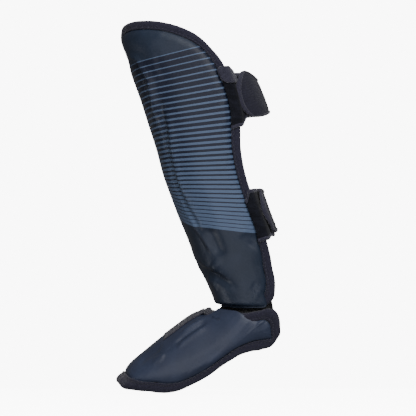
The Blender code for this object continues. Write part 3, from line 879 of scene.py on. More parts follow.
@dataclass(frozen=True)
class StudioPaper:
    """The pale floor."""

    name: str
    glow: float = 9.0

    def material(self) -> bpy.types.Material:
        """Builds the finish.

        Returns:
            The material.
        """
        graph = Graph(self.name)
        cloud = graph.noise(graph.place(), 3.0, 2.0)
        colour = graph.blend(cloud, (0.93, 0.93, 0.93), (0.96, 0.96, 0.96))
        return graph.shade(
            Base_Color=colour, Roughness=0.9, Emission_Color=(1.0, 1.0, 1.0), Emission_Strength=self.glow,
        )


@dataclass
class Finishes:
    """Every finish of the guard, made once."""

    shin_leather: bpy.types.Material = field(init=False)
    instep_leather_painted_light: bpy.types.Material = field(init=False)
    tape: bpy.types.Material = field(init=False)
    strap: bpy.types.Material = field(init=False)
    trim: bpy.types.Material = field(init=False)
    pile: bpy.types.Material = field(init=False)
    lining: bpy.types.Material = field(init=False)
    ankle: bpy.types.Material = field(init=False)
    thread: bpy.types.Material = field(init=False)

    def __post_init__(self) -> None:
        """Makes the materials."""
        self.shin_leather = GrainedLeather("printed shin leather", printed=True).material()
        # The instep leather's colour is paler than the shin leather's: partly the panel's own colour, partly
        # painted light that brightens the foot in place of a lamp.
        self.instep_leather_painted_light = GrainedLeather("instep leather with painted light", (0.0290, 0.0385, 0.0740), specular=0.36,
                                             coat=0.10).material()
        self.tape = WovenTape("binding tape").material()
        self.strap = WovenTape("strap cloth", colour=(0.0120, 0.0115, 0.0210), fluff=(0.032, 0.032, 0.060),
                               rib=0.0019, thread=0.0012, sheen=0.10).material()
        self.trim = WovenTape("strap trim", colour=(0.0190, 0.0180, 0.0340), fluff=(0.066, 0.064, 0.104),
                              sheen=0.30).material()
        self.pile = LoopPile("loop panel", sheen=0.08).material()
        self.lining = LoopPile("brushed lining", colour=(0.012, 0.012, 0.016), tips=(0.030, 0.030, 0.038),
                               sheen=0.10).material()
        self.ankle = WovenTape("ankle cloth", colour=(0.0050, 0.0050, 0.0075), fluff=(0.016, 0.016, 0.022),
                               rib=0.0024, thread=0.0016, relief=0.0005, sheen=0.10).material()
        self.thread = SewingThread("stitching").material()


def link(name: str, mesh: bmesh.types.BMesh, finishes: list[bpy.types.Material]) -> bpy.types.Object:
    """Turns a bmesh into a smooth object of the scene.

    Args:
        name: the piece's name.
        mesh: its shape, which is freed.
        finishes: its materials by slot.

    Returns:
        The object.
    """
    data = bpy.data.meshes.new(name)
    mesh.to_mesh(data)
    mesh.free()
    data.shade_smooth()
    for finish in finishes:
        data.materials.append(finish)
    made = bpy.data.objects.new(name, data)
    bpy.context.scene.collection.objects.link(made)
    return made


def grid_piece(
    name: str,
    rows: np.ndarray,
    finishes: list[bpy.types.Material],
    cloth: Optional[np.ndarray] = None,
    marks: Optional[dict[str, np.ndarray]] = None,
    closed_round: bool = False,
    closed_section: bool = False,
    second_from: Optional[int] = None,
) -> bpy.types.Object:
    """A piece whose grid of faces passes through rows of points.

    Args:
        name: the piece's name.
        rows: the points, row by row.
        finishes: its materials; faces from row second_from on take the second one.
        cloth: the piece's own map in metres, with one more row or column where the grid closes.
        marks: numbers kept at each point, by name.
        closed_round: joins the last column to the first.
        closed_section: joins the last row to the first.
        second_from: the first row of faces with the second material.

    Returns:
        The object.
    """
    if closed_section:
        rows = np.concatenate([rows, rows[:1]])
    if closed_round:
        rows = np.concatenate([rows, rows[:, :1]], axis=1)
    down, across = rows.shape[0] - 1, rows.shape[1] - 1
    mesh = bmesh.new()
    bmesh.ops.create_grid(mesh, x_segments=across, y_segments=down, size=0.5)
    layers = {key: mesh.verts.layers.float.new(key) for key in (marks or {})}
    uv_layer = mesh.loops.layers.uv.new("cloth")
    spots = {}
    for vertex in mesh.verts:
        column = round((vertex.co.x + 0.5) * across)
        row = round((vertex.co.y + 0.5) * down)
        spots[vertex.index] = row, column
        for key, layer in layers.items():
            values = marks[key]
            vertex[layer] = values[row % values.shape[0], column % values.shape[1]]
    for face in mesh.faces:
        places = [spots[corner.vert.index] for corner in face.loops]
        if second_from is not None and min(place[0] for place in places) >= second_from:
            face.material_index = 1
        if cloth is not None:
            for corner, place in zip(face.loops, places):
                corner[uv_layer].uv = cloth[place]
    for vertex in mesh.verts:
        vertex.co = rows[spots[vertex.index]]
    bmesh.ops.remove_doubles(mesh, verts=mesh.verts, dist=2e-6)
    bmesh.ops.dissolve_degenerate(mesh, edges=mesh.edges, dist=1e-7)
    bmesh.ops.recalc_face_normals(mesh, faces=mesh.faces)
    return link(name, mesh, finishes)


def pillow(name: str, middle: np.ndarray, out: np.ndarray, height: np.ndarray, rounding: float,
           finish: bpy.types.Material) -> bpy.types.Object:
    """A closed sheet of cloth with rounded edges.

    Args:
        name: the piece's name.
        middle: points of its middle surface, row by row.
        out: the direction of its outer face at each point.
        height: half of its thickness at each point.
        rounding: how far in from its edge it reaches that thickness.
        finish: its material.

    Returns:
        The object.
    """
    steps_across = np.linalg.norm(np.diff(middle, axis=1), axis=2)
    steps_down = np.linalg.norm(np.diff(middle, axis=0), axis=2)
    across = np.cumsum(np.pad(steps_across, ((0, 0), (1, 0))), axis=1)
    down = np.cumsum(np.pad(steps_down, ((1, 0), (0, 0))), axis=0)
    gap = np.minimum(np.minimum(across, across[:, -1:] - across), np.minimum(down, down[-1:] - down))
    inside = np.clip(gap / rounding, 0.0, 1.0)
    half = height * np.sqrt(1.0 - (1.0 - inside) ** 2)
    top = middle + out * half[:, :, None]
    bottom = middle - out * half[:, :, None]
    rows = np.concatenate([top, bottom[::-1]])
    places = np.stack([across, down], axis=-1)
    places = np.concatenate([places, places[::-1]])
    return grid_piece(name, rows, [finish], places)


def settle(piece: bpy.types.Object, slot: str, *nodes: str) -> bpy.types.Object:
    """Joins a finished piece to the frame.

    Args:
        piece: the piece.
        slot: not used.
        nodes: the CAD nodes that it stands for.

    Returns:
        The piece.
    """
    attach(piece, BODY)
    if nodes:
        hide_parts(*nodes)
    LOG.info("%s: %d faces", piece.name, len(piece.data.polygons))
    return piece


def stitch_row(name: str, points: np.ndarray, outward: np.ndarray, finish: bpy.types.Material,
               length: float = 0.0026, thick: float = 0.00036) -> bpy.types.Object:
    """A row of stitches laid on a surface.

    Args:
        name: the piece's name.
        points: the middle of each stitch; the row is closed if the first and last are neighbours.
        outward: the surface's direction at each.
        finish: the thread.
        length: a stitch's length.
        thick: half of the thread's thickness.

    Returns:
        The object.
    """
    mesh = bmesh.new()
    ahead = np.roll(points, -1, axis=0) - points
    ahead[-1] = points[-1] - points[-2]
    for point, direction, normal in zip(points, ahead, outward):
        run = Vector(direction).normalized()
        rise_up = Vector(normal)
        rise_up = (rise_up - run * rise_up.dot(run)).normalized()
        across = rise_up.cross(run)
        turn = Matrix((run, across, rise_up)).transposed().to_4x4()
        size = Matrix.Diagonal((length / 2, thick, thick, 1.0))
        seat = Matrix.Translation(Vector(point) + rise_up * thick * 0.35)
        bmesh.ops.create_icosphere(mesh, subdivisions=1, radius=1.0, matrix=seat @ turn @ size)
    return link(name, mesh, [finish])


@dataclass
class StripePrint:
    """Where the printed stripes lie, in metres back from and below the shin's upper front corner."""

    first_drop: float = 0.02873
    pitch: float = 0.007640
    closing: float = 0.0000550
    slope: float = 0.2493
    slope_closing: float = 0.01023
    middle: float = 0.0894
    bend_top: float = 0.15
    bend_bottom: float = 0.34
    top_ends: tuple[float, float] = (0.10, 0.20)
    bottom_starts: tuple[float, float] = (0.165, 0.215)

    def front_bend(self, along: np.ndarray) -> np.ndarray:
        """How far the stripes drop towards the ridge.

        Args:
            along: way down the shin.

        Returns:
            The drop for each metre that the round front is longer than it is deep. It turns into a rise lower
            down.
        """
        top, bottom = self.top_ends, self.bottom_starts
        falling = self.bend_top * (1.0 - rise((along - top[0]) / (top[1] - top[0])))
        return falling - self.bend_bottom * rise((along - bottom[0]) / (bottom[1] - bottom[0]))

    def band(self, surface: PadSurface, travel: np.ndarray, along: np.ndarray) -> np.ndarray:
        """Counts the stripes down the shin.

        Args:
            surface: the shin's surface.
            travel: way round the U.
            along: way down the shin.

        Returns:
            The number of the stripe at each place, with its parts of one.
        """
        ridge, _, depth, radius = surface.section(along)
        lengths, _, depths = surface.profile
        deep = depth * np.interp(np.abs(travel) / radius, lengths, depths)
        quarter = surface.profile_steps - 1
        whole = radius * lengths[quarter] - depth * depths[quarter]
        spare = np.clip(whole - (np.abs(travel) - deep), 0.0, None)
        back = ridge + deep - self.middle
        drop = along - self.front_bend(along) * spare - self.first_drop + self.slope * back
        lead = self.pitch + self.closing + self.slope_closing * back
        under = lead**2 - 4 * self.closing * drop
        return (lead - np.sqrt(np.maximum(under, 0.0))) / (2 * self.closing)


@dataclass
class LeatherShell:
    """A leather pad with its foam and lining, whose skin swells over the bound edge."""

    name: str
    node: str
    surface: PadSurface
    folds: tuple[Fold, ...]
    shares: np.ndarray
    core: np.ndarray
    cover: np.ndarray
    partner: np.ndarray
    outer_rings: int
    inner_rings: int
    stripes: Optional[StripePrint] = None
    lip: float = 0.0030
    pucker: float = 0.00055
    gather_reach: float = 0.0085
    wear_per_lift: float = 260.0
    slack_per_lift: float = 420.0

    def skin(self, travel: np.ndarray, along: np.ndarray, reach: np.ndarray, recess: np.ndarray,
             cover: np.ndarray, share: np.ndarray) -> tuple[np.ndarray, np.ndarray, np.ndarray, np.ndarray]:
        """Points of the outer and the inner face of one ring.

        Args:
            travel: way round the U.
            along: way down the pad.
            reach: how far from the outline the swelling starts.
            recess: how deep the rim lies under the surface.
            cover: one where the leather laps over the tape.
            share: where round the outline each column starts.

        Returns:
            Outer points, inner points, wear and slackness of the leather.
        """
        pad = self.surface
        gap = np.abs(gap_to_path(np.column_stack([travel, along]), pad.loop[::2, :2])[0])
        inside = np.clip((gap - reach) / (SHOULDER * (1.0 - 0.45 * cover)), 0.0, 1.0)
        swell = np.sqrt(1.0 - (1.0 - inside) ** 2)
        _, width, _, _ = pad.section(along)
        to_side = rise((np.abs(travel) - 0.45 * width) / (0.5 * width))
        padding = pad.padding + (pad.side_padding - pad.padding) * to_side
        walked = share * pad.perimeter
        near_edge = np.exp(-np.maximum(gap - reach, 0.0) / self.gather_reach)
        gathers = ripple(walked, gap * 0.35, (0.0078, 0.0117, 0.0191), 5)
        gathers = gathers * (0.35 + 0.65 * rise(0.5 + ripple(walked, gap, (0.083, 0.131), 9)))
        folds = pad.fold_height(travel, along, self.folds)
        relief = folds + pad.unrest(travel, along) + self.pucker * gathers * near_edge
        lift = relief * swell + (self.lip * cover - recess) * (1.0 - swell)
        under = recess + RIM + (padding - recess - RIM) * swell
        normal = pad.outward(travel, along)
        base = pad.base(travel, along)
        wear = np.clip(0.9 * near_edge * swell + self.wear_per_lift * np.abs(folds), 0.0, 1.0)
        slack = np.clip(0.35 * near_edge + self.slack_per_lift * np.abs(folds), 0.0, 1.0)
        return base + normal * lift[:, None], base - normal * under[:, None], wear, slack

    def build(self, leather: bpy.types.Material, lining: bpy.types.Material) -> bpy.types.Object:
        """Builds the pad.

        Args:
            leather: the outer finish.
            lining: the finish of the face towards the leg.

        Returns:
            The piece.
        """
        pad = self.surface
        spots, inward = pad.outline(self.shares)
        recess = spots[:, 2]
        cover = self.cover[:, None]
        flat_inset = TAPE_REACH + CLEARANCE
        rim = spots[:, :2] + inward * (TAPE_WALL + CLEARANCE)
        flat = spots[:, :2] + inward * flat_inset
        edge = spots[:, :2] + inward * ((1.0 - cover) * flat_inset - cover * 0.0008)
        reach = (1.0 - self.cover) * flat_inset
        rows, band, wear, slack = [], [], [], []

        def keep(points: np.ndarray, place: np.ndarray, worn: np.ndarray, loose: np.ndarray) -> None:
            """Adds one row with its marks.

            Args:
                points: the row's points.
                place: their travel and along.
                worn: how worn the leather is there.
                loose: how slack it is.
            """
            rows.append(points)
            wear.append(worn)
            slack.append(loose)
            unprinted = np.full(len(place), -9.0)
            band.append(self.stripes.band(pad, place[:, 0], place[:, 1]) if self.stripes else unprinted)

        steps = np.linspace(0.0, 1.0, self.outer_rings) ** 1.12
        lapped = reach, recess, self.cover, self.shares
        middle = self.skin(self.core[:, 0], self.core[:, 1], *lapped)
        split_outer = (middle[0][self.partner] - middle[0]) / 2
        for step in steps[::-1]:
            place = edge + (self.core - edge) * step
            outer, _, worn, loose = self.skin(place[:, 0], place[:, 1], *lapped)
            keep(outer + split_outer * rise(step), place, worn, loose)
        blank = np.zeros(len(self.shares))
        over = CLEARANCE + TAPE_WALL + 0.0009
        hems = ((edge - inward * 0.0004, 0.62 * self.lip), (edge + inward * 0.0006 * cover, over),
                (flat, over), (flat, 0.0), (rim, 0.0))
        for place, height in hems:
            level = (height * self.cover - recess)[:, None]
            points = pad.base(place[:, 0], place[:, 1]) + pad.outward(place[:, 0], place[:, 1]) * level
            keep(points, place, blank, blank)
        first_inner = len(rows)
        for place in (rim, flat):
            under = (recess + RIM)[:, None]
            points = pad.base(place[:, 0], place[:, 1]) - pad.outward(place[:, 0], place[:, 1]) * under
            keep(points, place, blank, blank)
        plain = np.full(len(self.shares), flat_inset), recess, blank, self.shares
        middle = self.skin(self.core[:, 0], self.core[:, 1], *plain)
        split_inner = (middle[1][self.partner] - middle[1]) / 2
        for step in np.linspace(0.0, 1.0, self.inner_rings)[1:]:
            place = flat + (self.core - flat) * step
            _, inner, _, _ = self.skin(place[:, 0], place[:, 1], *plain)
            keep(inner + split_inner * rise(step), place, blank, blank)
        marks = {"band": np.array(band), "wear": np.array(wear), "slack": np.array(slack)}
        piece = grid_piece(self.name, np.array(rows), [leather, lining], marks=marks, closed_round=True,
                           second_from=first_inner + 1)
        return settle(piece, "leather", self.node)


@dataclass
class EdgeBinding:
    """The tape folded round a pad's rim, with its gathers and its stitches."""

    name: str
    node: str
    surface: PadSurface
    shares: np.ndarray
    stitch_pitch: float = 0.0042
    stitch_inset: float = 0.0074
    fold_reach: float = 0.0030
    gather: float = 0.00062

    def face_profile(self) -> np.ndarray:
        """Works out one face of the tape, from its inner end to the fold.

        Returns:
            Rows of inset, height over the near face and share of the gathers.
        """
        return np.array([
            (TAPE_REACH, 0.10, 0.0), (TAPE_REACH - 0.0002, 0.60, 0.2), (TAPE_REACH - 0.0008, 0.95, 0.5),
            (TAPE_REACH - 0.0015, 0.92, 0.4), (self.stitch_inset, 0.62, 0.3), (0.0066, 0.92, 0.6),
            (0.0054, 1.20, 0.9), (0.0040, 1.34, 1.0), (0.0026, 1.26, 1.0), (0.0014, 0.92, 0.9),
            (0.0005, 0.30, 0.7),
        ])

    def section_rows(self) -> list[tuple[float, float, float]]:
        """Works out the tape's closed section.

        Returns:
            Rows of inset, depth under the rim's outer face and share of the gathers.
        """
        near, far = -CLEARANCE, RIM + CLEARANCE
        face = self.face_profile()
        outer = [(inset, near - height * TAPE_WALL, gather) for inset, height, gather in face]
        inner = [(inset, far + height * TAPE_WALL, -gather) for inset, height, gather in face[::-1]]
        corners = ((TAPE_REACH, far), (TAPE_WALL, far), (TAPE_WALL, near), (TAPE_REACH, near))
        inside = [(inset, depth, 0.0) for inset, depth in corners]
        return [*outer, (0.0, RIM / 2, 0.0), *inner, *inside]

    def build(self, tape: bpy.types.Material, thread: bpy.types.Material) -> None:
        """Builds the tape and the stitches on both of its faces.

        Args:
            tape: the tape's finish.
            thread: the stitches' finish.
        """
        walked = self.shares * self.surface.perimeter
        wave = ripple(walked, 0 * walked, (0.0057, 0.0083, 0.0131), 21)
        wave = wave * (0.45 + 0.55 * rise(0.5 + 0.9 * ripple(walked, 0 * walked, (0.061, 0.097), 8)))
        rows, cloth, across = [], [], 0.0
        section = self.section_rows()
        for index, (inset, depth, gather) in enumerate(section):
            on_fold = inset < self.fold_reach and gather != 0.0
            outset = 0.5 * self.gather * wave * on_fold
            push = self.gather * gather * wave
            rows.append(self.surface.border(self.shares, inset - outset, depth - push))
            if index:
                across += float(np.hypot(inset - section[index - 1][0], depth - section[index - 1][1]))
            cloth.append(across)
        cloth.append(across + TAPE_WALL)
        walked = np.append(walked, self.surface.perimeter)
        places = np.stack(np.meshgrid(walked, np.array(cloth)), axis=-1)
        piece = grid_piece(self.name, np.array(rows), [tape], places, closed_round=True, closed_section=True)
        settle(piece, "binding_tape", self.node)
        count = int(self.surface.perimeter / self.stitch_pitch)
        shares = (np.arange(count) + 0.5) / count
        spots, _ = self.surface.outline(shares)
        outward = self.surface.outward(spots[:, 0], spots[:, 1])
        sunk = CLEARANCE + 0.66 * TAPE_WALL
        for side, depth, facing in (("outer", -sunk, outward), ("inner", RIM + sunk, -outward)):
            points = self.surface.border(shares, self.stitch_inset, depth)
            settle(stitch_row(f"{self.name}_stitches_{side}", points, facing, thread), "binding_tape")


class StrapSize(NamedTuple):
    """A calf strap.

    Attributes:
        middle: its middle, as a share of the shin's length.
        width: its width, in metres.
        bulge: how far it stands out behind the wings, in metres.
        flare: how much further out it stands at its lower edge, as a share of the bulge.
        tip: where its closed end starts, as a share of its way round.
        crown: how round that end is, as a share of its way.
        slant: how far that end leans, as a share of its way.
        waist: how much narrower it is behind the calf, as a share of its width.
        waist_lean: how much more its upper edge than its lower one narrows.
    """

    middle: float
    width: float
    bulge: float
    flare: float
    tip: float
    crown: float
    slant: float
    waist: float
    waist_lean: float


@dataclass
class CalfStrap:
    """A loop panel on the +X wing and the strap that comes round the calf and closes over it."""

    name: str
    surface: PadSurface
    size: StrapSize
    wall: float = 0.0026
    grip: float = 0.0075
    stitch_pitch: float = 0.0040
    stitch_inset: float = 0.0048
    band_rows: int = 230
    band_columns: int = 64
    rim_columns: int = 420
    panel: Optional[tuple[np.ndarray, ...]] = field(default=None, init=False)

    def wing_rim(self, along: np.ndarray) -> tuple[np.ndarray, np.ndarray]:
        """Reads the +X wing's rear edge.

        Args:
            along: places along the pad.

        Returns:
            Its travel and its recess at each.
        """
        pad = self.surface
        half = pad.loop[: pad.outline_steps]
        rear = half[half[:, 0].argmax() // 2:]
        rear = rear[(np.gradient(rear[:, 1]) > 0) & (rear[:, 0] > 0.6 * half[:, 0].max())]
        return np.interp(along, rear[:, 1], rear[:, 0]), np.interp(along, rear[:, 1], rear[:, 2])

    def wing_point(self, along: np.ndarray, inset: float, depth: float) -> np.ndarray:
        """Points near the wing's rear edge.

        Args:
            along: places along the pad.
            inset: how far in from the edge.
            depth: how far under the rim's outer face.

        Returns:
            The points.
        """
        pad = self.surface
        travel, recess = self.wing_rim(along)
        travel = travel - inset
        normal = pad.outward(np.append(travel, 0.0), np.append(along, pad.length / 2))[:-1]
        return pad.base(travel, along) - normal * (recess + depth)[:, None]

    def wing_edge(self, along: np.ndarray, inset: float) -> np.ndarray:
        """Points near the rear edge of the +X wing, inside the tape."""
        return self.wing_point(along, inset, UNDER_TAPE)

    def curve(self, along: np.ndarray) -> np.ndarray:
        """The way from inside the +X wing round the calf to inside the other.

        Args:
            along: places along the shin.

        Returns:
            The way's points, with a column for each place.
        """
        place = (along - self.size.middle * self.surface.length) / (self.size.width / 2)
        bulge = self.size.bulge * (1.0 + self.size.flare * place)
        grip = self.wing_edge(along, self.grip)
        lip = self.wing_edge(along, 0.0)
        turn = np.linspace(0.0, np.pi / 2, 60)[1:]
        across = np.cos(turn) ** (2 / 2.4)
        behind = np.sin(turn) ** (2 / 2.4)
        quarter = lip[None, :, :] * np.ones((len(turn), 1, 1))
        quarter[:, :, 0] = lip[None, :, 0] * across[:, None]
        quarter[:, :, 1] = lip[None, :, 1] + bulge[None, :] * behind[:, None]
        half = np.concatenate([grip[None], lip[None], quarter])
        return np.concatenate([half, half[-2::-1] * np.array([-1.0, 1.0, 1.0])])

    @staticmethod
    def read(curve: np.ndarray, shares: np.ndarray) -> np.ndarray:
        """Reads several curves at shares of their lengths.

        Args:
            curve: the curves' points, with a column for each.
            shares: the shares, the same for all curves or with a column for each.

        Returns:
            The points, with a column for each curve.
        """
        out = np.empty((len(shares), curve.shape[1], 3))
        for column in range(curve.shape[1]):
            places = lengths_along(curve[:, column])
            wanted = shares[:, column] if np.ndim(shares) == 2 else shares
            for axis in range(3):
                out[:, column, axis] = np.interp(wanted * places[-1], places, curve[:, column, axis])
        return out

    def trace_panel(self, reach: float = 0.30) -> None:
        """Traces the way from the binding's inner edge over the wing's rim and round the calf.

        Args:
            reach: how far round the calf it goes, as a share of the strap's way.
        """
        share = np.linspace(-1.6, 1.9, 60)
        along = self.size.middle * self.surface.length + share * self.size.width / 2
        curve = self.curve(along)
        heights = ((0.0099, 0.0022), (0.0088, 0.0031), (0.0070, 0.0033), (0.0050, 0.0033), (0.0030, 0.0033),
                   (0.0012, 0.0030), (-0.0010, 0.0018), (-0.0030, -0.0010))
        control = [self.wing_point(along, inset, -height) for inset, height in heights]
        total = float(lengths_along(curve[:, curve.shape[1] // 2])[-1])
        steps = np.linspace((self.grip + 0.0085) / total, reach, 12)
        control = np.concatenate([np.array(control), self.read(curve, steps)])
        places = lengths_along(control[:, control.shape[1] // 2])
        wanted = np.linspace(0.0, places[-1], 240)
        sheet = np.empty((len(wanted), len(share), 3))
        for column in range(len(share)):
            for axis in range(3):
                sheet[:, column, axis] = read_smoothly(places, control[:, column, axis], wanted)
        self.panel = sheet, away_from(sheet, curve.mean(axis=(0, 1))), wanted, share

    def panel_at(self, distance: np.ndarray, share: np.ndarray) -> tuple[np.ndarray, np.ndarray]:
        """Points of the panel's way and the direction out of the leg there.

        Args:
            distance: how far from the binding's inner edge, in metres.
            share: share of the strap's half width, rising downwards.

        Returns:
            The points and the directions.
        """
        sheet, out, distances, shares = self.panel
        row = np.interp(distance, distances, np.arange(len(distances)))
        column = np.interp(share, shares, np.arange(len(shares)))
        top = np.minimum(row.astype(int), len(distances) - 2)
        left = np.minimum(column.astype(int), len(shares) - 2)
        down, across = (row - top)[..., None], (column - left)[..., None]

        def mix(grid: np.ndarray) -> np.ndarray:
            """The grid's value between its four nearest points."""
            return ((1 - down) * ((1 - across) * grid[top, left] + across * grid[top, left + 1])
                    + down * ((1 - across) * grid[top + 1, left] + across * grid[top + 1, left + 1]))

        return mix(sheet), mix(out)

    @staticmethod
    def panel_edge(distance: np.ndarray, corner: float, at_wing: float, behind: float) -> np.ndarray:
        """One edge of the panel, as a share of the strap's half width.

        Args:
            distance: how far from the binding's inner edge.
            corner: the share at the panel's front corner.
            at_wing: the share on the wing.
            behind: the share behind it.

        Returns:
            The share at each distance.
        """
        front = (corner - at_wing) * (1.0 - rise(distance / 0.010))
        return at_wing + front + (behind - at_wing) * rise((distance - 0.011) / 0.016)

    def build_root(self, pile: bpy.types.Material, trim: bpy.types.Material, top: tuple[float, float, float],
                   bottom: tuple[float, float, float]) -> None:
        """Builds the loop panel and the tape along its two edges.

        Args:
            pile: the panel's finish.
            trim: the tape's finish.
            top: shares of the half width of its upper edge, at its front corner, on the wing and behind it.
            bottom: the same of its lower edge.
        """
        self.trace_panel()
        length = self.panel[2][-1]
        distance = np.linspace(0.0, length, 130)[:, None]
        upper, lower = self.panel_edge(distance, *top), self.panel_edge(distance, *bottom)
        sheet, out = self.panel_at(distance + 0 * upper, upper + (lower - upper) * np.linspace(0.0, 1.0, 60))
        piece = pillow(f"{self.name}_root", sheet, out, np.full(sheet.shape[:2], 0.0009), 0.0012, pile)
        settle(piece, "loop_panel", f"{self.name}_root")
        width = 0.0040 / (self.size.width / 2)
        for side, edge, inward in (("top", upper, 1.0), ("bottom", lower, -1.0)):
            reach = distance[: int(0.86 * len(distance))]
            shares = edge[: len(reach)] + inward * width * np.linspace(-0.18, 1.0, 14)
            sheet, out = self.panel_at(reach + 0 * shares, shares)
            wave = 0.00018 * np.sin(2 * np.pi * reach / 0.0046) + 0.00010 * np.sin(2 * np.pi * reach / 0.0019)
            height = 0.0016 + wave * np.ones(sheet.shape[:2])
            piece = pillow(f"{self.name}_root_tape_{side}", sheet, out, height, 0.0019, trim)
            settle(piece, "binding_tape")

    def build_gusset(self, finish: bpy.types.Material) -> None:
        """Builds the small rounded patch over the binding at the top of the loop panel.

        Args:
            finish: the patch's cloth.
        """
        down = np.linspace(0.0, 1.0, 46)[None, :]
        share = -1.150 + 0.705 * down
        start = 0.0004 + 0.0040 * (2 * down - 1.0) ** 4
        end = 0.0118 + 0.0100 * np.sqrt(np.clip(1.0 - (1.0 - np.minimum(down / 0.62, 1.0)) ** 2, 0.0, 1.0))
        across = np.linspace(0.0, 1.0, 40)[:, None]
        sheet, out = self.panel_at(start + (end - start) * across, share + 0 * across)
        dents = 0.00035 * ripple(sheet[:, :, 1], sheet[:, :, 2], (0.0055, 0.0082, 0.0127), 17)
        lift = 0.0021 + dents
        height = np.full(sheet.shape[:2], 0.0010)
        piece = pillow(f"{self.name}_gusset", sheet + out * lift[:, :, None], out, height, 0.0022, finish)
        settle(piece, "binding_tape", f"{self.name}_gusset")

    def band_sheet(self, rows: int, columns: int) -> tuple[np.ndarray, np.ndarray]:
        """The strap's inner face from its rounded end to inside the other wing.

        Args:
            rows: rows of points along the strap.
            columns: columns across it.

        Returns:
            The points and the direction out of the leg at each.
        """
        share = np.linspace(-1.0, 1.0, columns)
        wide = np.linspace(-1.0, 1.0, 40)
        size = self.size
        curve = self.curve(size.middle * self.surface.length + wide * size.width / 2)
        rounded = size.tip + size.crown * (1.0 - np.sqrt(1.0 - 0.94 * share**2)) - size.slant * share
        shares = rounded + (1.0 - rounded) * np.linspace(0.0, 1.0, rows)[:, None]
        narrow = rise((shares - 0.12) / 0.34) * rise((1.0 - shares) / 0.34)
        seen = share * (1.0 - (size.waist + size.waist_lean * -share) * narrow)
        band = np.empty((rows, columns, 3))
        for column in range(columns):
            lines = self.read(curve, shares[:, column])
            for row in range(rows):
                for axis in range(3):
                    band[row, column, axis] = np.interp(seen[row, column], wide, lines[row, :, axis])
        out = away_from(band, curve.mean(axis=(0, 1)))
        lift = 2 * CLEARANCE - (self.wall + 2 * CLEARANCE) * rise((shares - 0.36) / 0.40)
        lift = lift + 0.0028 * (1.0 - rise((shares - size.tip) / 0.11))
        return band + out * lift[:, :, None], out

    def build_band(self, cloth: bpy.types.Material, trim: bpy.types.Material,
                   thread: bpy.types.Material) -> None:
        """Builds the strap, the tape round its edge and the stitches along that.

        Args:
            cloth: the strap's finish.
            trim: the finish of its rounded rim.
            thread: the stitches' finish.
        """
        sheet, out = self.band_sheet(self.band_rows, self.band_columns)
        middle = sheet + out * self.wall / 2
        quilt = 0.00018 * ripple(middle[:, :, 1] * 1.3, middle[:, :, 2], (0.012, 0.019, 0.031), 12)
        piece = pillow(self.name, middle, out, 0.00115 + quilt, 0.0016, cloth)
        settle(piece, "strap", self.name)
        border = np.concatenate([middle[::-1, 0], middle[0, 1:-1], middle[:, -1]])
        directions = np.concatenate([out[::-1, 0], out[0, 1:-1], out[:, -1]])
        inward = np.concatenate([middle[::-1, 1] - middle[::-1, 0], middle[1, 1:-1] - middle[0, 1:-1],
                                 middle[:, -2] - middle[:, -1]])
        ends = lengths_along(border)
        wanted = np.linspace(0.0, ends[-1], self.rim_columns)

        def even(values: np.ndarray) -> np.ndarray:
            """The values at evenly spaced places of the border."""
            return np.column_stack([np.interp(wanted, ends, column) for column in values.T])

        border, directions, inward = even(border), even(directions), even(inward)
        directions /= np.linalg.norm(directions, axis=1, keepdims=True)
        inward /= np.linalg.norm(inward, axis=1, keepdims=True)
        wave = ripple(wanted, 0 * wanted, (0.0061, 0.0089, 0.0143), 4)
        rows, cloth_rows = [], []
        reach, half = 0.0060, self.wall / 2 + CLEARANCE
        profile = [(reach, 0.30), (reach - 0.0002, 0.85), (0.0048, 1.06), (0.0030, 1.12), (0.0012, 1.02),
                   (0.0002, 0.78), (-0.0005, 0.40), (-0.0007, 0.0)]
        profile = profile + [(inset, -height) for inset, height in profile[-2::-1]]
        for inset, height in profile:
            lift = half * height * (1.0 + 0.10 * wave * (height > 0))
            rows.append(border + inward * inset + directions * lift[:, None])
            cloth_rows.append(inset if height > 0 else 0.02 - inset)
        places = np.stack(np.meshgrid(wanted, np.append(cloth_rows, 0.03)), axis=-1)
        piece = grid_piece(f"{self.name}_rim", np.array(rows), [trim], places, closed_section=True)
        settle(piece, "binding_tape")
        count = int(ends[-1] / self.stitch_pitch)
        pick = np.linspace(3, len(wanted) - 4, count).round().astype(int)
        points = border[pick] + inward[pick] * self.stitch_inset + directions[pick] * half * 1.06
        stitches = stitch_row(f"{self.name}_stitches", points, directions[pick], thread,
                              length=0.0024, thick=0.0003)
        settle(stitches, "binding_tape")


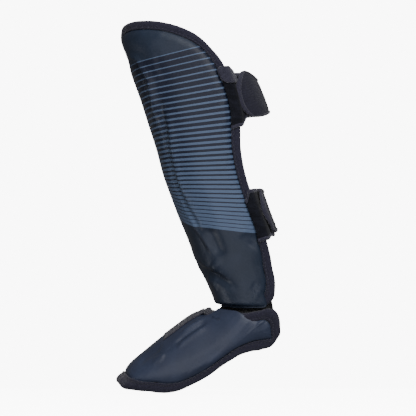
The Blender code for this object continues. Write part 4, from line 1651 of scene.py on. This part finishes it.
@dataclass
class Guard:
    """The whole guard, from the two pad surfaces out."""

    shin: PadSurface
    instep: PadSurface
    finishes: Finishes
    shin_columns: int = 480
    shin_tape_columns: int = 760
    instep_columns: int = 400
    instep_tape_columns: int = 560

    @classmethod
    def from_frame(cls, finishes: Finishes) -> "Guard":
        """Places the two surfaces by the boxes of their bound edges in the frame.

        Args:
            finishes: the guard's finishes.

        Returns:
            The guard, with nothing built yet.
        """
        shin = PadSurface(
            start=np.zeros(3), down=np.array([0.0, 0.0, -1.0]), back=np.array([0.0, 1.0, 0.0]),
            length=0.3232, run=0.1075, width=0.142, depth=0.110, padding=0.024, side_padding=0.016,
            sections=SHIN_SECTIONS, edge=SHIN_EDGE, notch=SHIN_NOTCH,
        )
        instep = PadSurface(
            start=np.zeros(3), down=np.array([0.0, -1.0, 0.0]), back=np.array([0.0, 0.0, -1.0]),
            length=0.1856, run=0.0815, width=0.104, depth=0.050, padding=0.015, side_padding=0.011,
            sections=INSTEP_SECTIONS, edge=INSTEP_EDGE, exponent=2.2,
        )
        for surface, node, columns in ((shin, "shin_binding", 384), (instep, "instep_binding", 304)):
            share = np.arange(columns) / columns
            rim = np.concatenate([surface.border(share, 0.0, -CLEARANCE - TAPE_WALL),
                                  surface.border(share, 0.0, RIM + CLEARANCE + TAPE_WALL)])
            low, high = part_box(node)
            surface.start = (np.array(low) + np.array(high) - rim.min(axis=0) - rim.max(axis=0)) / 2
            surface.start[0] = 0.0
        return cls(shin, instep, finishes)

    def ridge_core(self, share: np.ndarray) -> np.ndarray:
        """The line of the shin's ridge, on which its rings close."""
        around = 1.0 - np.abs(1.0 - 2.0 * share)
        return np.column_stack([np.zeros(len(share)), self.shin.length * (0.30 + 0.60 * around)])

    def wing_core(self, share: np.ndarray, tip: float, reach: float = 0.87) -> np.ndarray:
        """The line midway between the two edges of the instep's wing, on which its rings close.

        Args:
            share: shares of the way round the outline.
            tip: the share at the wing's rear end.
            reach: how far into the wing the line goes, as a share of it.

        Returns:
            Travel and along of the line at each share.
        """
        folded = np.minimum(share, 1.0 - share)
        out = reach * np.where(folded < tip, folded / tip, (0.5 - folded) / (0.5 - tip))
        upper, _ = self.instep.outline(tip * out)
        lower, _ = self.instep.outline(0.5 - (0.5 - tip) * out)
        core = (upper[:, :2] + lower[:, :2]) / 2
        core[:, 0] *= np.where(share > 0.5, -1.0, 1.0)
        return core

    def build_shin(self) -> None:
        """Builds the shin pad and its bound edge."""
        share = np.arange(self.shin_columns) / self.shin_columns
        spots, _ = self.shin.outline(share)
        low = spots[:, 1] > 0.90 * self.shin.length
        ends = self.shin.travel_at_depth(np.full(2, self.shin.length), np.array([0.055, 0.069]))
        cover = np.where(low, 1.0 - rise((np.abs(spots[:, 0]) - ends[0]) / (ends[1] - ends[0])), 0.0)
        partner = -np.arange(self.shin_columns) % self.shin_columns
        shell = LeatherShell("shin_leather", "shin_pad", self.shin, SHIN_FOLDS, share, self.ridge_core(share),
                             cover, partner, outer_rings=84, inner_rings=22, stripes=StripePrint())
        shell.build(self.finishes.shin_leather, self.finishes.lining)
        share = np.arange(self.shin_tape_columns) / self.shin_tape_columns
        binding = EdgeBinding("shin_edge_tape", "shin_binding", self.shin, share)
        binding.build(self.finishes.tape, self.finishes.thread)

    def build_instep(self) -> None:
        """Builds the instep pad and its bound edge."""
        tip = self.instep.tip_share()
        count = self.instep_columns
        quarter = np.arange(count // 4) / (count // 4)
        half = np.concatenate([tip * quarter, tip + (0.5 - tip) * quarter])
        share = np.concatenate([half, [0.5], 1.0 - half[:0:-1]])
        folded = np.minimum(share, 1.0 - share)
        spots, _ = self.instep.outline(share)
        outward = rise((spots[:, 1] / self.instep.length - 0.070) / 0.220)
        cover = np.where(folded < tip, rise((np.abs(spots[:, 0]) - 0.024) / 0.010) * outward, 0.0)
        partner = (count // 2 - np.arange(count)) % count
        shell = LeatherShell("instep_leather_painted_light", "instep_pad", self.instep, INSTEP_FOLDS, share,
                             self.wing_core(share, tip), cover, partner, outer_rings=54, inner_rings=20)
        shell.build(self.finishes.instep_leather_painted_light, self.finishes.lining)
        share = np.arange(self.instep_tape_columns) / self.instep_tape_columns
        binding = EdgeBinding("instep_edge_tape", "instep_binding", self.instep, share)
        binding.build(self.finishes.tape, self.finishes.thread)

    def build_straps(self) -> None:
        """Builds the two calf straps and the gusset."""
        upper = CalfStrap("upper_strap", self.shin, StrapSize(
            middle=0.254, width=0.054, bulge=0.0295, flare=0.10, tip=0.056, crown=0.14, slant=0.022,
            waist=0.30, waist_lean=0.12,
        ))
        lower = CalfStrap("lower_strap", self.shin, StrapSize(
            middle=0.665, width=0.050, bulge=0.0118, flare=0.0, tip=0.088, crown=0.10, slant=0.0,
            waist=0.06, waist_lean=0.0,
        ))
        pile, trim = self.finishes.pile, self.finishes.trim
        upper.build_root(pile, trim, top=(-0.80, -0.80, -0.88), bottom=(1.46, 1.36, 0.88))
        lower.build_root(pile, trim, top=(-0.50, -1.0, -1.0), bottom=(1.36, 1.26, 1.12))
        for strap in (upper, lower):
            strap.build_band(self.finishes.strap, trim, self.finishes.thread)
        upper.build_gusset(trim)

    def build_ankle(self) -> None:
        """Builds the gathered cloth between the two pads."""
        across = np.linspace(-1.0, 1.0, 200)
        under = UNDER_TAPE + CLEARANCE
        upper = 0.5 - 0.088 * across
        lower = (0.160 * across) % 1.0
        rails = np.array([
            self.shin.border(upper, SEWN_INSET, under),
            self.shin.border(upper, 0.0, under),
            self.instep.border(lower, 2 * TAPE_WALL, under + CLEARANCE),
            self.instep.border(lower, SEWN_INSET, under),
        ])
        steps = np.linspace(0.0, 3.0, 46)
        whole = np.minimum(steps.astype(int), len(rails) - 2)
        part = (steps - whole)[:, None, None]
        sheet = (1 - part) * rails[whole] + part * rails[whole + 1]
        free = np.clip(1.0 - np.abs(steps - 1.5) / 0.8, 0.0, 1.0)[:, None]
        inside = self.shin.border(np.array([0.5]), 0.0, 0.0)[0] + np.array([0.0, 0.05, 0.0])
        out = away_from(sheet, inside)
        gathers = 0.0007 * free * (np.sin(across * 44.0) + 0.6 * np.sin(across * 71.0 + 1.0))[None, :]
        middle = sheet + out * (gathers[:, :, None] - 0.0008)
        height = np.full(sheet.shape[:2], 0.0008)
        piece = pillow("ankle_cloth", middle, out, height, 0.0009, self.finishes.ankle)
        settle(piece, "ankle_cloth", "ankle_hinge")

    def build_sole_strap(self) -> None:
        """Builds the elastic across the foot's hollow."""
        pad = self.instep
        half_width, half_wall = 0.017, 0.0009
        centre = 0.275 * pad.length
        along = centre + half_width * np.linspace(-1.0, 1.0, 44)
        half = pad.loop[: pad.outline_steps]
        lower = half[half[:, 0].argmax():]
        lower = lower[lower[:, 1] < 0.6 * pad.length]
        order = lower[:, 1].argsort()
        travel = np.interp(along, lower[order, 1], lower[order, 0])
        recess = np.interp(along, lower[order, 1], lower[order, 2])
        rows = []
        for inset in np.linspace(0.0085, 0.0030, 6):
            at, places = np.append(travel - inset, 0.0), np.append(along, centre)
            normal = pad.outward(at, places)[:-1]
            rows.append(pad.base(at, places)[:-1] - normal * (recess + UNDER_TAPE)[:, None])
        flat = [rows[-1] * np.array([share, 1.0, 1.0]) for share in np.linspace(1.0, -1.0, 90)[1:-1]]
        other = [row * np.array([-1.0, 1.0, 1.0]) for row in rows[::-1]]
        sheet = np.array([*rows, *flat, *other])
        out = away_from(sheet, pad.base(np.zeros(1), np.array([0.45 * pad.length]))[0])
        ribs = 0.00012 * np.sin(np.arange(sheet.shape[1]) * 1.9)[None, :, None]
        height = np.full(sheet.shape[:2], half_wall)
        middle = sheet - out * (half_wall + ribs)
        piece = pillow("foot_elastic", middle, out, height, 0.0010, self.finishes.ankle)
        settle(piece, "ankle_cloth", "sole_strap")

    def build_ridge_tape(self) -> None:
        """Builds the tape sewn along the top of the foot."""
        pad = self.instep
        half_width = 0.027
        across = half_width * np.linspace(-1.0, 1.0, 90)
        along = pad.length * np.linspace(0.452, 0.700, 86)
        travel, place = np.meshgrid(across, along)
        flat_travel, flat_place = travel.ravel(), place.ravel()
        folds = pad.fold_height(flat_travel, flat_place, INSTEP_FOLDS)
        gap = np.abs(gap_to_path(np.column_stack([flat_travel, flat_place]), pad.loop[::2, :2])[0])
        inside = np.clip((gap - TAPE_REACH - CLEARANCE) / SHOULDER, 0.0, 1.0)
        swell = np.sqrt(1.0 - (1.0 - inside) ** 2)
        lift = (folds + pad.unrest(flat_travel, flat_place)) * swell - 0.16 * pad.padding * (1.0 - swell)
        out = pad.outward(flat_travel, flat_place)
        lapped = 0.0022 * (1.0 - rise((flat_place / pad.length - 0.458) / 0.030))
        base = pad.base(flat_travel, flat_place) + out * (lift + lapped + 0.0002)[:, None]
        middle, out = base.reshape(*travel.shape, 3), out.reshape(*travel.shape, 3)
        height = np.full(travel.shape, 0.0006)
        piece = pillow("instep_band", middle, out, height, 0.0040, self.finishes.tape)
        settle(piece, "binding_tape", "instep_ridge_tape")


@dataclass
class Studio:
    """A white studio: floor, soft lights and the camera at the photograph's angle."""

    look_at: Vector = field(default_factory=lambda: Vector((0.0, 0.0326, -0.0617)))
    view_width: float = 0.4709
    lens: float = 900.0
    sensor: float = 36.0
    backdrop: float = 9.0
    ambient: float = 0.20

    def add_light(self, name: str, place: tuple[float, float, float], size: float, power: float) -> None:
        """Adds a soft square light that faces the guard.

        Args:
            name: the light's name.
            place: where it hangs.
            size: the length of its side.
            power: its watts.
        """
        data = bpy.data.lights.new(name, "AREA")
        data.shape = "SQUARE"
        data.size = size
        data.energy = power
        made = bpy.data.objects.new(name, data)
        made.location = place
        made.rotation_euler = (Vector(place) - self.look_at).to_track_quat("Z", "Y").to_euler()
        bpy.context.scene.collection.objects.link(made)

    def build(self) -> None:
        """Builds the floor, the lights, the background and the camera."""
        low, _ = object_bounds()
        mesh = bmesh.new()
        bmesh.ops.create_grid(mesh, x_segments=8, y_segments=8, size=0.9,
                              matrix=Matrix.Translation((0.55, self.look_at.y, low.z - 0.0015)))
        floor = link("studio_floor", mesh, [StudioPaper("studio paper").material()])
        floor.visible_diffuse = False
        floor.visible_glossy = False
        floor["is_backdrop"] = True
        self.add_light("key", (1.7, 0.7, 1.0), 1.4, 31.0)
        self.add_light("fill", (1.7, -0.3, -0.5), 1.2, 10.0)
        self.add_light("rim", (0.45, -1.45, -1.05), 0.7, 8.0)
        self.add_light("crown", (0.5, 0.3, 1.7), 1.0, 7.0)
        self.build_backdrop()
        self.build_camera()

    def build_backdrop(self) -> None:
        """Builds the white background, which gives the guard only a little light."""
        world = bpy.data.worlds.new("studio")
        world.use_nodes = True
        tree = world.node_tree
        background = tree.nodes["Background"]
        background.inputs["Color"].default_value = (1.0, 1.0, 1.0, 1.0)
        seen = tree.nodes.new("ShaderNodeLightPath").outputs["Is Camera Ray"]
        strength = tree.nodes.new("ShaderNodeMath")
        strength.operation = "MULTIPLY_ADD"
        strength.inputs[1].default_value = self.backdrop - self.ambient
        strength.inputs[2].default_value = self.ambient
        tree.links.new(seen, strength.inputs[0])
        tree.links.new(strength.outputs[0], background.inputs["Strength"])
        bpy.context.scene.world = world

    def build_camera(self) -> None:
        """Builds the camera, level with the middle of the guard and square to its side."""
        data = bpy.data.cameras.new("camera")
        data.lens = self.lens
        data.sensor_width = self.sensor
        camera = bpy.data.objects.new("camera", data)
        distance = self.view_width * self.lens / self.sensor
        camera.location = self.look_at + Vector((distance, 0.0, 0.0))
        camera.rotation_euler = Vector((1.0, 0.0, 0.0)).to_track_quat("Z", "Y").to_euler()
        data.clip_end = 20.0
        bpy.context.scene.collection.objects.link(camera)
        bpy.context.scene.camera = camera


def main() -> None:
    """Builds the guard on its frame, then the studio round it."""
    logging.basicConfig(level=logging.INFO, format="%(name)s: %(message)s")
    guard = Guard.from_frame(Finishes())
    guard.build_shin()
    guard.build_instep()
    guard.build_straps()
    guard.build_ankle()
    guard.build_sole_strap()
    guard.build_ridge_tape()
    Studio().build()


if __name__ == "__main__":
    main()
